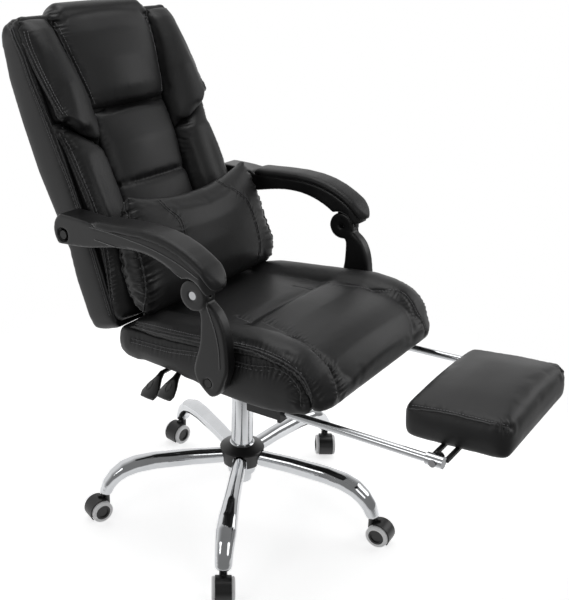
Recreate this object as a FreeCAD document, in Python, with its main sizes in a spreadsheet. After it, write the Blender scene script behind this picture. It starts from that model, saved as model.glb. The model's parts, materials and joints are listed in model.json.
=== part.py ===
import FreeCAD, Part
import Sketcher
import math
import os
import re
from types import SimpleNamespace

V = FreeCAD.Vector
X_AXIS = V(1, 0, 0)
Y_AXIS = V(0, 1, 0)
Z_AXIS = V(0, 0, 1)

# Driving sizes in millimetres, angles in degrees.
# The origin is on the floor under the gas lift, +Z is up and the sitter faces -Y.
SIZES = {
    # Clearances that the pieces share
    "running_fit": 0.05,
    "flat_gap": 0.3,
    "soft_gap": 0.5,
    "cut_overrun": 5.0,
    # Star base
    "stem_circle": 320.0,
    "first_arm_angle": 137.9,
    "star_arm_high": 134.0,
    "star_arm_wide": 31.0,
    "star_arm_tall": 37.0,
    "base_hub_radius": 32.0,
    "base_hub_drop": 46.0,
    "base_hub_rise": 16.0,
    "socket_depth": 16.0,
    # Hub cover and the bright ring round the column
    "cover_radius": 51.5,
    "cover_foot_radius": 48.0,
    "cover_skirt": 32.0,
    "cover_wall": 2.5,
    "cover_step": 1.0,
    "cover_shoulder": 12.0,
    "cover_notch_gap": 1.0,
    "cover_collar_radius": 29.0,
    "ring_radius": 28.5,
    "ring_thick": 3.2,
    # Gas lift
    "column_radius": 25.0,
    "column_bore": 21.5,
    "column_foot": 22.0,
    "column_drop": 40.0,
    "column_foot_radius": 23.0,
    "column_taper": 30.0,
    "column_floor": 12.0,
    "bush_depth": 56.0,
    "bush_flange": 2.0,
    "bush_flange_radius": 24.0,
    "rod_radius": 5.0,
    "rod_end": 6.0,
    "rod_top": 268.0,
    "piston_thick": 10.0,
    "bearing_radius": 13.0,
    "bearing_thick": 6.0,
    "clip_radius": 11.0,
    "clip_thick": 3.2,
    "pressure_radius": 14.0,
    "pressure_bore": 10.0,
    "pressure_low": 112.0,
    "pressure_drop": 12.0,
    "pressure_seal": 12.0,
    "pressure_cap": 16.0,
    "release_pin_radius": 4.0,
    "release_pin_tall": 4.0,
    # Casters
    "wheel_radius": 25.0,
    "tyre_wall": 7.5,
    "wheel_outside": 24.0,
    "wheel_inside": 9.0,
    "tyre_round": 2.0,
    "core_dish": 2.5,
    "core_dish_radius": 13.0,
    "caster_axle_radius": 3.0,
    "caster_trail": 20.0,
    "tyre_room": 1.0,
    "hood_wall": 2.5,
    "hood_half_width": 17.0,
    "hood_web": 3.0,
    "hood_rear_angle": 35.0,
    "hood_front_angle": 116.0,
    "hood_boss_radius": 8.5,
    "hood_boss_rise": 5.0,
    "hood_rise": 33.3,
    "stem_radius": 5.5,
    "stem_rise": 10.0,
    "stem_collar_radius": 9.0,
    "stem_collar_tall": 2.1,
    # Seat mechanism and board
    "seat_low": 438.0,
    "mechanism_plate": 4.0,
    "mechanism_side_margin": 14.0,
    "mechanism_end_margin": 6.0,
    "mechanism_box_step": 10.0,
    "mechanism_wall": 3.0,
    "mechanism_drop": 34.0,
    "socket_radius": 19.0,
    "socket_drop": 36.5,
    "board_thick": 12.0,
    "board_side_margin": 41.0,
    "board_front_margin": 124.0,
    "board_rear_margin": 29.0,
    "board_corner": 40.0,
    "bolt_radius": 4.0,
    "bolt_head_radius": 7.0,
    "bolt_head_thick": 5.0,
    "bolt_half_spacing": 86.0,
    # Seat cushions
    "seat_half_width": 241.0,
    "seat_rear": 137.0,
    "seat_depth": 466.0,
    "seat_groove_rise": 101.0,
    "seat_side_bulge": 3.0,
    "seat_seam_margin": 84.0,
    "bolster_crest_margin": 36.0,
    # Back frame, turned back by the lean about the recline hinge
    "hinge_setback": 13.0,
    "hinge_rise": 17.0,
    "back_lean": 22.0,
    "back_length": 694.0,
    "back_depth": 71.0,
    "back_crown": 50.0,
    "back_board_thick": 10.0,
    "back_board_low": 44.0,
    "back_board_top_margin": 44.0,
    "back_board_margin": 29.0,
    "bracket_margin": 12.0,
    "bracket_thick": 4.0,
    "bracket_deep": 26.0,
    "bracket_plate_low": 62.0,
    "bracket_plate_high": 200.0,
    "hinge_pin_radius": 6.0,
    "hinge_pin_margin": 21.0,
    "hinge_eye_radius": 13.0,
    "ear_half": 125.0,
    "ear_thick": 4.0,
    "ear_foot_front": 40.0,
    "ear_foot_margin": 12.0,
    "collar_radius": 12.0,
    "collar_half": 18.0,
    # Lumbar pillow
    "pillow_low": 47.0,
    "pillow_tall": 244.0,
    "pillow_margin": 10.0,
    "pillow_offset": 81.5,
    "pillow_tip": 32.0,
    "pillow_half_thick": 54.0,
    # Linked arms
    "upright_gap": 8.0,
    "arm_overhang": 12.5,
    "arm_gap": 2.5,
    "arm_width": 55.0,
    "upright_width": 26.0,
    "knuckle_front": 86.0,
    "knuckle_rise": 204.0,
    "knuckle_radius": 29.5,
    "knuckle_proud": 5.0,
    "knuckle_clearance": 6.5,
    "tongue_thick": 8.0,
    "tongue_radius": 25.0,
    "tongue_slot": 8.8,
    "foot_front": 118.0,
    "foot_rise": 32.0,
    "arm_pocket_rear_angle": 62.0,
    "arm_pocket_top_angle": 100.0,
    "arm_pocket_front_angle": 138.0,
    "arm_nose_angle": 165.0,
    "arm_end_radius": 27.6,
    "arm_bolt_radius": 6.0,
    "arm_bolt_head_radius": 8.6,
    "arm_bolt_head_thick": 4.5,
    "arm_recess_radius": 10.2,
    "arm_pin_radius": 5.0,
    "arm_pin_head_radius": 8.0,
    "foot_bolt_depth": 38.0,
    "foot_spacer_radius": 14.0,
    "rear_bolt_radius": 5.0,
    "rear_bolt_ahead": 6.46,
    "rear_bolt_rise": 256.24,
    "rear_bolt_depth": 22.0,
    "rear_bolt_play": 3.4,
    "rear_bolt_head_radius": 9.0,
    "arm_edge_round": 6.0,
    "upright_edge_round": 3.0,
    # Footrest
    "rail_offset": 13.0,
    "rail_radius": 8.0,
    "rail_drop": 33.5,
    "rail_slope": 3.2,
    "rail_reach": 304.0,
    "rail_rear_margin": 8.0,
    "rail_end_radius": 11.0,
    "rail_end_length": 30.0,
    "guide_half": 13.0,
    "guide_overhang": 39.0,
    "guide_length": 80.0,
    "guide_lip": 3.0,
    "guide_lip_length": 7.0,
    "hanger_length": 36.0,
    "hanger_margin": 2.0,
    "foot_screw_radius": 3.5,
    "foot_screw_head_radius": 6.5,
    "foot_screw_head_thick": 3.0,
    "foot_frame_margin": 14.0,
    "foot_frame_lug": 9.0,
    "foot_bar_wide": 8.0,
    "foot_bar_thick": 5.0,
    "foot_bar_spacing": 26.0,
    "foot_plate_margin": 26.0,
    "foot_plate_long": 110.0,
    "foot_plate_thick": 4.0,
    "pad_side_margin": 40.0,
    "pad_long": 184.0,
    "pad_thick": 62.0,
    "pad_overlap": 84.0,
    "pad_pivot_rise": 8.09,
    "pad_tilt": 5.9,
    "pad_crown": 6.0,
    "pad_corner": 22.0,
    "pad_side_round": 7.3,
    # Levers
    "height_lever_drop": 15.0,
    "recline_lever_drop": 23.0,
    "lever_rod_radius": 4.0,
    "height_lever_rear": 11.0,
    "recline_lever_rear": 50.0,
    "height_lever_reach": 208.0,
    "recline_lever_reach": 216.0,
    "lever_inset": 10.0,
    "lever_tail": 6.0,
    "lever_swing_room": 1.5,
    "lever_pin_radius": 2.0,
    "lever_lug_thick": 2.0,
    "lever_lug_wide": 8.0,
    "lever_lug_foot": 4.0,
    "paddle_length": 62.0,
    "paddle_wide": 40.0,
    "paddle_thick": 9.0,
    "paddle_droop": 38.0,
}

# Sizes and places that follow from the driving sizes
FOLLOWING = {
    "hood_bore": "wheel_radius + tyre_room",
    "hood_radius": "hood_bore + hood_wall",
    "hood_boss_low": "wheel_radius + hood_boss_rise",
    "hood_top": "wheel_radius + hood_rise",
    "stem_low": "wheel_radius + stem_rise",
    "tyre_bore": "wheel_radius - tyre_wall",
    "star_arm_low": "hood_top + stem_collar_tall + 2 * flat_gap",
    "base_hub_low": "star_arm_high - base_hub_drop",
    "base_hub_top": "star_arm_high + base_hub_rise",
    "column_low": "base_hub_low - column_foot",
    "rod_low": "column_low - rod_end",
    "column_top": "seat_low - column_drop",
    "pressure_top": "seat_low - pressure_drop",
    "mechanism_half_wide": "bolt_half_spacing + mechanism_side_margin",
    "mechanism_half_long": "bolt_half_spacing + mechanism_end_margin",
    "mechanism_box_half": "bolt_half_spacing - mechanism_box_step",
    "mechanism_low": "seat_low - mechanism_drop",
    "socket_low": "seat_low - socket_drop",
    "upright_inside": "seat_half_width + upright_gap",
    "arm_inside": "upright_inside - arm_overhang",
    "back_half_width": "arm_inside - arm_gap",
    "back_board_half": "back_half_width - back_board_margin",
    "back_board_high": "back_length - back_board_top_margin",
    "pillow_half_width": "back_half_width - pillow_margin",
    "board_half_wide": "seat_half_width - board_side_margin",
    "board_front": "seat_rear - seat_depth + board_front_margin",
    "board_rear": "seat_rear - board_rear_margin",
    "hinge_rear": "seat_rear + hinge_setback",
    "hinge_high": "seat_low + hinge_rise",
    "bracket_half": "ear_half + bracket_margin",
    "hinge_pin_half": "ear_half + hinge_pin_margin",
    "ear_foot_rear": "mechanism_half_long + ear_foot_margin",
    "knuckle_high": "seat_low + knuckle_rise",
    "foot_high": "seat_low + foot_rise",
    "lean_sine": "sin(back_lean * 1deg)",
    "lean_cosine": "cos(back_lean * 1deg)",
    "slope_sine": "sin(rail_slope * 1deg)",
    "slope_cosine": "cos(rail_slope * 1deg)",
    "arm_rear": "hinge_rear + rear_bolt_rise * lean_sine - rear_bolt_ahead * lean_cosine",
    "arm_rear_high": "hinge_high + rear_bolt_rise * lean_cosine + rear_bolt_ahead * lean_sine",
    "seat_seam_half": "seat_half_width - seat_seam_margin",
    "bolster_crest_half": "seat_half_width - bolster_crest_margin",
    "guide_front": "guide_overhang - board_front",
    "hanger_front": "-board_front - hanger_margin",
    "rail_front": "guide_front + rail_reach",
    "foot_frame_half": "board_half_wide - foot_frame_margin",
    "pad_half_width": "foot_frame_half - pad_side_margin",
    "foot_plate_half_wide": "pad_half_width - foot_plate_margin",
    "rail_half_spacing": "foot_frame_half + rail_offset",
    "rail_height": "seat_low - rail_drop",
    "rail_length": "rail_front - guide_front + guide_length - rail_rear_margin",
    "pad_rear": "rail_front - pad_overlap",
    "pad_low": "rail_height + rail_front * slope_sine - pad_pivot_rise",
    "height_lever_high": "seat_low - height_lever_drop",
    "recline_lever_high": "seat_low - recline_lever_drop",
    "lever_pivot": "mechanism_box_half - lever_inset",
    "lever_inner": "lever_pivot - lever_tail",
    "lever_lug_inside": "lever_rod_radius + 2 * flat_gap",
    "lever_pin_half": "lever_lug_inside + lever_lug_thick",
}

# Shares along the star arm: reach, height, slope in degrees, width and depth
STAR_ARM_SHARES = [
    (0.0875, 0.965, 0, 0.97, 0.95),
    (0.38, 1.01, 0, 1.00, 1.00),
    (0.64, 1.00, -4, 1.13, 1.03),
    (0.775, 0.93, -14, 1.29, 1.00),
    (0.86, 0.80, -28, 1.35, 0.95),
    (0.925, 0.58, -46, 1.26, 0.87),
    (0.972, 0.32, -62, 1.16, 0.79),
    (1.0, 0.0, -90, 1.10, 0.73),
]

# Shares down the seat boxing from its rear: depth, width, lower edge and upper edge
SEAT_BOX_SHARES = [
    (0.000, 0.90, 0.14, 0.47),
    (0.015, 0.965, 0.05, 0.56),
    (0.058, 0.995, 0.005, 0.595),
    (0.187, 1.00, 0.0, 0.635),
    (0.442, 1.00, 0.0, 0.772),
    (0.629, 1.00, 0.0, 0.931),
    (0.775, 0.995, 0.02, 1.0),
    (0.882, 0.985, 0.10, 0.905),
    (0.938, 0.965, 0.155, 0.665),
    (0.966, 0.945, 0.18, 0.41),
]

# Shares down the seat's top pad: depth, width, underside, piping, bolster crest, seam and middle
SEAT_PAD_SHARES = [
    (0.036, 0.88, 0.60, 0.67, 0.70, 0.69, 0.70),
    (0.058, 0.95, 0.60, 0.765, 0.81, 0.75, 0.77),
    (0.187, 0.986, 0.64, 0.89, 0.955, 0.805, 0.825),
    (0.294, 0.995, 0.695, 0.92, 1.02, 0.83, 0.86),
    (0.442, 0.998, 0.776, 0.975, 1.10, 0.865, 0.915),
    (0.513, 1.00, 0.83, 1.01, 1.14, 0.90, 0.885),
    (0.573, 1.00, 0.885, 1.04, 1.17, 1.02, 1.10),
    (0.629, 1.00, 0.934, 1.08, 1.20, 1.04, 1.125),
    (0.723, 1.00, 0.978, 1.14, 1.24, 1.07, 1.16),
    (0.775, 0.995, 1.003, 1.13, 1.22, 1.05, 1.145),
    (0.830, 0.99, 0.965, 1.12, 1.20, 1.03, 1.13),
    (0.882, 0.982, 0.915, 1.065, 1.145, 0.99, 1.09),
    (0.916, 0.975, 0.78, 1.00, 1.07, 0.94, 1.04),
    (0.938, 0.967, 0.68, 0.93, 1.00, 0.89, 0.99),
    (0.968, 0.955, 0.42, 0.80, 0.88, 0.82, 0.92),
    (0.973, 0.95, 0.19, 0.76, 0.85, 0.80, 0.90),
    (1.006, 0.90, 0.19, 0.42, 0.60, 0.52, 0.72),
    (1.026, 0.80, 0.22, 0.34, 0.44, 0.42, 0.58),
]

# Shares up the back's rear panel: height, width and depth
REAR_PANEL_SHARES = [
    (0.053, 0.94, 0.56),
    (0.065, 0.98, 0.79),
    (0.101, 0.995, 0.87),
    (0.223, 1.0, 0.83),
    (0.318, 1.0, 0.68),
    (0.434, 1.0, 0.79),
    (0.569, 1.0, 0.97),
    (0.718, 1.0, 0.97),
    (0.849, 1.0, 0.90),
    (0.944, 0.99, 0.73),
    (0.987, 0.965, 0.51),
    (1.0, 0.92, 0.34),
]

# Shares up the front pads of the back: height, inner edge, outer edge, then how far the
# inner edge, the middle and the outer edge stand forward
HEAD_PILLOW_SHARES = [
    (0.703, 0.487, 0.06, 0.10),
    (0.712, 0.494, 0.12, 0.48),
    (0.749, 0.517, 0.16, 0.76),
    (0.836, 0.568, 0.16, 0.84),
    (0.922, 0.624, 0.12, 0.68),
    (0.973, 0.658, 0.06, 0.40),
    (0.997, 0.671, 0.02, 0.12),
]
# The head pillow's roll over the top of the back: height, half width, then how far it
# reaches forward and to the rear
HEAD_ROLL_SHARES = [
    (0.9850, 0.655, 0.14, 0.00),
    (1.0007, 0.665, 0.20, 0.00),
    (1.0010, 0.665, 0.20, 0.32),
    (1.0180, 0.620, 0.14, 0.28),
    (1.0300, 0.540, 0.02, 0.18),
]
CENTRE_PAD_SHARES = [
    (0.070, 0.470, 0.08, 0.28),
    (0.085, 0.483, 0.20, 0.60),
    (0.202, 0.491, 0.24, 0.84),
    (0.331, 0.487, 0.24, 0.80),
    (0.441, 0.483, 0.24, 0.52),
    (0.455, 0.483, 0.20, 0.26),
    (0.470, 0.485, 0.18, 0.52),
    (0.576, 0.504, 0.16, 0.64),
    (0.677, 0.489, 0.14, 0.40),
    (0.697, 0.485, 0.10, 0.12),
]
WING_SHARES = [
    (0.590, 0.512, 0.530, 0.06, 0.08, 0.06),
    (0.634, 0.509, 0.705, 0.16, 0.52, 0.28),
    (0.677, 0.502, 0.876, 0.18, 0.78, 0.52),
    (0.689, 0.500, 0.996, 0.18, 0.94, 1.00),
    (0.782, 0.546, 1.0, 0.16, 0.92, 0.56),
    (0.876, 0.600, 1.0, 0.12, 0.66, 0.26),
    (0.952, 0.650, 0.995, 0.06, 0.38, 0.06),
    (0.988, 0.672, 0.965, 0.02, 0.14, 0.02),
]
BOLSTER_SHARES = [
    (0.063, 0.510, 0.94, 0.20, 0.58, 0.24),
    (0.075, 0.498, 0.97, 0.24, 0.86, 0.44),
    (0.144, 0.496, 0.990, 0.28, 0.98, 0.52),
    (0.259, 0.496, 0.996, 0.28, 0.95, 0.46),
    (0.331, 0.496, 0.996, 0.28, 0.88, 0.46),
    (0.455, 0.494, 0.996, 0.24, 0.78, 0.42),
    (0.576, 0.515, 0.996, 0.16, 0.70, 0.20),
    (0.590, 0.545, 0.996, 0.16, 0.62, 0.16),
    (0.634, 0.728, 0.996, 0.12, 0.48, 0.10),
    (0.677, 0.895, 0.996, 0.08, 0.28, 0.08),
    (0.686, 0.957, 0.994, 0.04, 0.10, 0.05),
]

# Shares up the lumbar pillow: height, width, tip forward, edge thickness and half thickness
PILLOW_REST_SHARE = 0.858
PILLOW_SHARES = [
    (0.000, 0.93, 0.00, 0.06, 0.24),
    (0.050, 0.98, 0.00, 0.22, 0.56),
    (0.200, 1.00, 0.06, 0.40, 0.86),
    (0.420, 0.985, 0.19, 0.46, 1.00),
    (0.640, 0.96, 0.40, 0.42, 0.95),
    (0.840, 0.925, 0.64, 0.30, 0.72),
    (0.955, 0.895, 0.86, 0.14, 0.40),
    (1.000, 0.86, 1.00, 0.05, 0.16),
]

# Side outlines of the arms as places (rearwards, upwards) from the knuckle, in shares of
# the distance from the knuckle to the rear bolt and of the knuckle's height over the foot
ARM_PAD_TOP_SHARES = [
    (0.717, 0.555),
    (0.454, 0.590),
    (0.264, 0.588),
    (0.080, 0.520),
    (-0.061, 0.392),
    (-0.160, 0.250),
    (-0.196, 0.160),
]
ARM_SEAM_SHARES = [
    (0.724, 0.494),
    (0.454, 0.515),
    (0.258, 0.515),
    (0.058, 0.428),
    (-0.074, 0.295),
    (-0.166, 0.140),
]
PAD_STATION_SHARES = [0.0, 0.12, 0.25, 0.38, 0.5, 0.6, 0.7, 0.79, 0.87, 0.94, 1.0]
ARM_UNDER_SHARES = [
    (0.890, 0.213),
    (0.800, 0.235),
    (0.592, 0.320),
    (0.390, 0.370),
    (0.199, 0.318),
    (0.100, 0.240),
]
# The upright's closed outline: up its rear, round inside the knuckle and down its front
UPRIGHT_SHARES = [
    (-0.200, -0.150),
    (-0.110, -0.090),
    (0.005, 0.070),
    (0.000, 0.190),
    (-0.065, 0.420),
    (-0.085, 0.680),
    (-0.055, 0.840),
    (0.015, 0.930),
    (-0.020, 1.020),
    (-0.100, 0.985),
    (-0.190, 0.925),
    (-0.270, 0.870),
    (-0.365, 0.740),
    (-0.420, 0.550),
    (-0.445, 0.350),
    (-0.445, 0.210),
    (-0.405, 0.080),
    (-0.285, -0.130),
]
# Where the armrest's rear end lies about its bolt, in shares of that end's radius
ARM_END_SHARES = {"top": (0.30, 1.5), "tip": (0.95, 0.55), "low": (0.55, -0.75), "block": (0.30, 1.38)}
# The rear panel's round: how far in from the side, and how deep, its corners lie
REAR_CORNER_SHARES = (0.08, 0.93)
# Half of an arch from its side to its top
ARCH_SHARES = [(1.0, 0.0), (0.87, 0.5), (0.5, 0.87), (0.0, 1.0)]
# How far the middle of a quarter round stands off its corner
ROUND_TUCK_SHARE = 0.29
# Heights of the arm pad's shoulder and crown
PAD_SHOULDER_SHARE = 0.99
PAD_CROWN_SHARE = 1.05
# Shares along the footrest pad: reach, width and thickness
FOOT_PAD_SHARES = [
    (0.00, 0.94, 0.86),
    (0.05, 0.99, 0.97),
    (0.50, 1.00, 1.00),
    (0.95, 0.99, 0.97),
    (1.00, 0.94, 0.86),
]
STAR_ARMS = 5

doc = FreeCAD.newDocument("office_chair")
sheet = doc.addObject("Spreadsheet::Sheet", "Sizes")
texts = {name: repr(number) for name, number in SIZES.items()}
texts.update({name: "=" + formula for name, formula in FOLLOWING.items()})
for row, (name, text) in enumerate(texts.items(), 1):
    sheet.set("A%d" % row, name)
    sheet.set("B%d" % row, text)
    sheet.setAlias("B%d" % row, name)
doc.recompute()
size = SimpleNamespace(**{name: float(sheet.get(name)) for name in texts})
nodes = []


def cells(text):
    """An expression on the sheet, written with plain size names."""
    return re.sub(r"[a-z]+(_[a-z]+)+", lambda found: "Sizes." + found.group(0), text)


def bind(item, prop, text):
    """Bind a property to the sheet."""
    item.setExpression(prop, cells(text))


def keep(item, label):
    """Take an object as one sub-part of the chair."""
    item.Label = label
    nodes.append(item)
    return item


def place(item, base=("0", "0", "0"), axis=None, angle=None):
    """Put an object at a place on the sheet, turned about an axis."""
    if axis is not None:
        item.Placement = FreeCAD.Placement(V(), FreeCAD.Rotation(axis, 1))
        item.setExpression("Placement.Rotation.Angle", "(" + cells(angle) + ") * 1deg")
    for letter, text in zip("xyz", base):
        bind(item, "Placement.Base." + letter, text)
    return item


BACK_BASE = ("0", "hinge_rear", "hinge_high")
RAIL_BASE = ("0", "0", "rail_height")


def plane_of(body, role):
    """One origin plane of a body."""
    return [item for item in body.Origin.OriginFeatures if item.Role == role][0]


def sketch(body, role, offset="0"):
    """An empty sketch on an origin plane of its own body, moved along the plane's normal."""
    item = body.newObject("Sketcher::SketchObject", "sketch")
    item.AttachmentSupport = [(plane_of(body, role), "")]
    item.MapMode = "FlatFace"
    bind(item, "AttachmentOffset.Base.z", offset)
    return item


def polygon(item, corners):
    """A closed outline whose corners are bound to the sheet."""
    first = item.GeometryCount
    count = len(corners)
    ring = [V(math.cos(math.tau * k / count), math.sin(math.tau * k / count), 0) for k in range(count)]
    for k in range(count):
        item.addGeometry(Part.LineSegment(ring[k], ring[(k + 1) % count]), False)
    for k in range(count):
        follower = first + (k + 1) % count
        item.addConstraint(Sketcher.Constraint("Coincident", first + k, 2, follower, 1))
    for k, (across, up) in enumerate(corners):
        for kind, text in (("DistanceX", across), ("DistanceY", up)):
            index = item.addConstraint(Sketcher.Constraint(kind, -1, 1, first + k, 1, 1.0))
            item.setExpression("Constraints[%d]" % index, cells(text))
    return item


def circle(item, radius, centre=("0", "0")):
    """A full circle bound to the sheet."""
    index = item.addGeometry(Part.Circle(V(1, 1, 0), Z_AXIS, 1.0), False)
    bound = item.addConstraint(Sketcher.Constraint("Radius", index, 1.0))
    item.setExpression("Constraints[%d]" % bound, cells(radius))
    for kind, text in (("DistanceX", centre[0]), ("DistanceY", centre[1])):
        bound = item.addConstraint(Sketcher.Constraint(kind, -1, 1, index, 3, 1.0))
        item.setExpression("Constraints[%d]" % bound, cells(text))
    return item


def new_body(name):
    """An empty body."""
    return doc.addObject("PartDesign::Body", name)


def pad(body, profile, length, both_ways=False):
    """Add the profile's prism to the body."""
    item = body.newObject("PartDesign::Pad", "pad")
    item.Profile = profile
    item.Midplane = both_ways
    bind(item, "Length", length)
    return item


def pocket(body, profile, length, both_ways=False, turned=False):
    """Take the profile's prism out of the body."""
    item = body.newObject("PartDesign::Pocket", "pocket")
    item.Profile = profile
    item.Midplane = both_ways
    item.Reversed = turned
    bind(item, "Length", length)
    return item


def turned_piece(name, label, corners):
    """A piece of revolution about the vertical axis of its body."""
    body = new_body(name)
    profile = polygon(sketch(body, "XZ_Plane"), corners)
    item = body.newObject("PartDesign::Revolution", "turning")
    item.Profile = profile
    item.ReferenceAxis = (profile, ["V_Axis"])
    return keep(body, label)


def cylinder(name, radius, height, base=("0", "0", "0"), axis=None, angle=None):
    """A cylinder bound to the sheet."""
    item = doc.addObject("Part::Cylinder", name)
    bind(item, "Radius", radius)
    bind(item, "Height", height)
    return place(item, base, axis, angle)


def box(name, long_x, long_y, long_z, base=("0", "0", "0"), axis=None, angle=None):
    """A box bound to the sheet, from its lowest corner."""
    item = doc.addObject("Part::Box", name)
    for prop, text in (("Length", long_x), ("Width", long_y), ("Height", long_z)):
        bind(item, prop, text)
    return place(item, base, axis, angle)


def cut(name, base, tool):
    """The first solid less the second."""
    item = doc.addObject("Part::Cut", name)
    item.Base = base
    item.Tool = tool
    return item


def fuse(name, pieces):
    """Several solids made one."""
    item = doc.addObject("Part::MultiFuse", name)
    item.Shapes = pieces
    return item


def group(name, pieces):
    """Separate solids kept in one sub-part."""
    item = doc.addObject("Part::Compound", name)
    item.Links = pieces
    return item


def mirrored(name, source):
    """The same piece on the other side of the chair."""
    item = doc.addObject("Part::Mirroring", name)
    item.Source = source
    item.Normal = X_AXIS
    return item


def formed(name, shape, placement=None):
    """A shape worked out below from the sheet."""
    item = doc.addObject("Part::Feature", name)
    item.Shape = shape
    if placement is not None:
        item.Placement = placement
    return item


def wire(points):
    """A closed wire from (point, via) pairs: an arc through via, or a line where it is None."""
    edges = []
    for k, (start, via) in enumerate(points):
        end = points[(k + 1) % len(points)][0]
        edges.append(Part.makeLine(start, end) if via is None else Part.Arc(start, via, end).toShape())
    return Part.Wire(edges)


def loft(wires):
    """A closed solid through the wires."""
    return Part.makeLoft(wires, True, True)


def smooth(points, closed=False):
    """One smooth edge through the points."""
    curve = Part.BSplineCurve()
    curve.interpolate(Points=points, PeriodicFlag=closed)
    return curve.toShape()


def back_placement():
    """The place of the back's own frame: at the hinge and leaning back."""
    base = V(0, size.hinge_rear, size.hinge_high)
    return FreeCAD.Placement(base, FreeCAD.Rotation(X_AXIS, -size.back_lean))


# Star base: five bent oval tubes on a round hub
def oval(reach, high, slope, wide, tall):
    """A section of a star arm, square to the arm."""
    lean = math.radians(slope)
    up = V(-math.sin(lean), 0, math.cos(lean))
    centre = V(reach, 0, high)
    side_share = 0.38
    rise_share = 0.36

    def at(across, rise):
        return centre + Y_AXIS * (across * wide) + up * (rise * tall)

    corners = [(side_share, -rise_share), (side_share, rise_share)]
    corners += [(-side_share, rise_share), (-side_share, -rise_share)]
    vias = [(0.5, 0), (0, 0.5), (-0.5, 0), (0, -0.5)]
    return wire([(at(*corner), at(*via)) for corner, via in zip(corners, vias)])


def star_base():
    drop = size.star_arm_high - size.star_arm_low
    sections = []
    for reach, high, slope, wide, tall in STAR_ARM_SHARES:
        sections.append(
            oval(
                reach * size.stem_circle,
                size.star_arm_low + high * drop,
                slope,
                wide * size.star_arm_wide,
                tall * size.star_arm_tall,
            )
        )
    arm = loft(sections)
    socket = Part.makeCylinder(
        size.stem_radius + size.running_fit,
        size.socket_depth + size.cut_overrun,
        V(size.stem_circle, 0, size.star_arm_low - size.cut_overrun),
    )
    arm = arm.cut(socket)
    arms = []
    for k in range(STAR_ARMS):
        copy = arm.copy()
        copy.rotate(V(), Z_AXIS, size.first_arm_angle + k * 360 / STAR_ARMS)
        arms.append(formed("star_arm", copy))
    hub = cylinder("base_hub", "base_hub_radius", "base_hub_top - base_hub_low", ("0", "0", "base_hub_low"))
    bore = cylinder(
        "hub_bore",
        "column_radius + running_fit",
        "base_hub_top - base_hub_low + 2 * cut_overrun",
        ("0", "0", "base_hub_low - cut_overrun"),
    )
    keep(cut("star_base", fuse("welded_star", [hub] + arms), bore), "star_base")


def hub_cover():
    body = new_body("hub_cover_body")
    place(body, axis=Z_AXIS, angle="first_arm_angle")
    seat = "base_hub_top + flat_gap"
    low = "base_hub_top - cover_skirt"
    shoulder = "base_hub_top + flat_gap + cover_step"
    crown = shoulder + " + cover_shoulder"
    bore = "column_radius + flat_gap"
    corners = [
        (bore, seat),
        ("cover_radius - cover_wall - flat_gap", seat),
        ("cover_foot_radius - cover_wall", low),
        ("cover_foot_radius", low),
        ("cover_radius", shoulder),
        ("cover_radius - cover_wall", shoulder + " + cover_wall"),
        ("cover_collar_radius", crown),
        (bore, crown),
    ]
    profile = polygon(sketch(body, "XZ_Plane"), corners)
    turning = body.newObject("PartDesign::Revolution", "turning")
    turning.Profile = profile
    turning.ReferenceAxis = (profile, ["V_Axis"])
    half = "(star_arm_wide / 2 + cover_notch_gap)"
    spring = "star_arm_high + star_arm_tall / 2 + cover_notch_gap - " + half
    start = "(cover_foot_radius - cover_wall - cut_overrun)"
    half_arch = [(half + " * %s" % across, "%s + %s * %s" % (spring, half, up)) for across, up in ARCH_SHARES]
    arch = [(half, "base_hub_low")] + half_arch
    arch += [("-" + across, high) for across, high in half_arch[-2::-1]]
    arch += [("-" + half, "base_hub_low")]
    notch = polygon(sketch(body, "YZ_Plane", start), arch)
    opening = pocket(body, notch, "cover_radius + cut_overrun - " + start, turned=True)
    pattern = body.newObject("PartDesign::PolarPattern", "notches")
    pattern.Originals = [opening]
    pattern.Axis = (profile, ["V_Axis"])
    pattern.Angle = 360
    pattern.Occurrences = STAR_ARMS
    body.Tip = pattern
    keep(body, "hub_cover")
    ring_low = crown + " + flat_gap"
    turned_piece(
        "ring_body",
        "column_ring",
        [
            (bore, ring_low),
            ("ring_radius", ring_low),
            ("ring_radius", ring_low + " + ring_thick / 2"),
            ("ring_radius - ring_thick / 2", ring_low + " + ring_thick"),
            (bore, ring_low + " + ring_thick"),
        ],
    )


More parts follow.
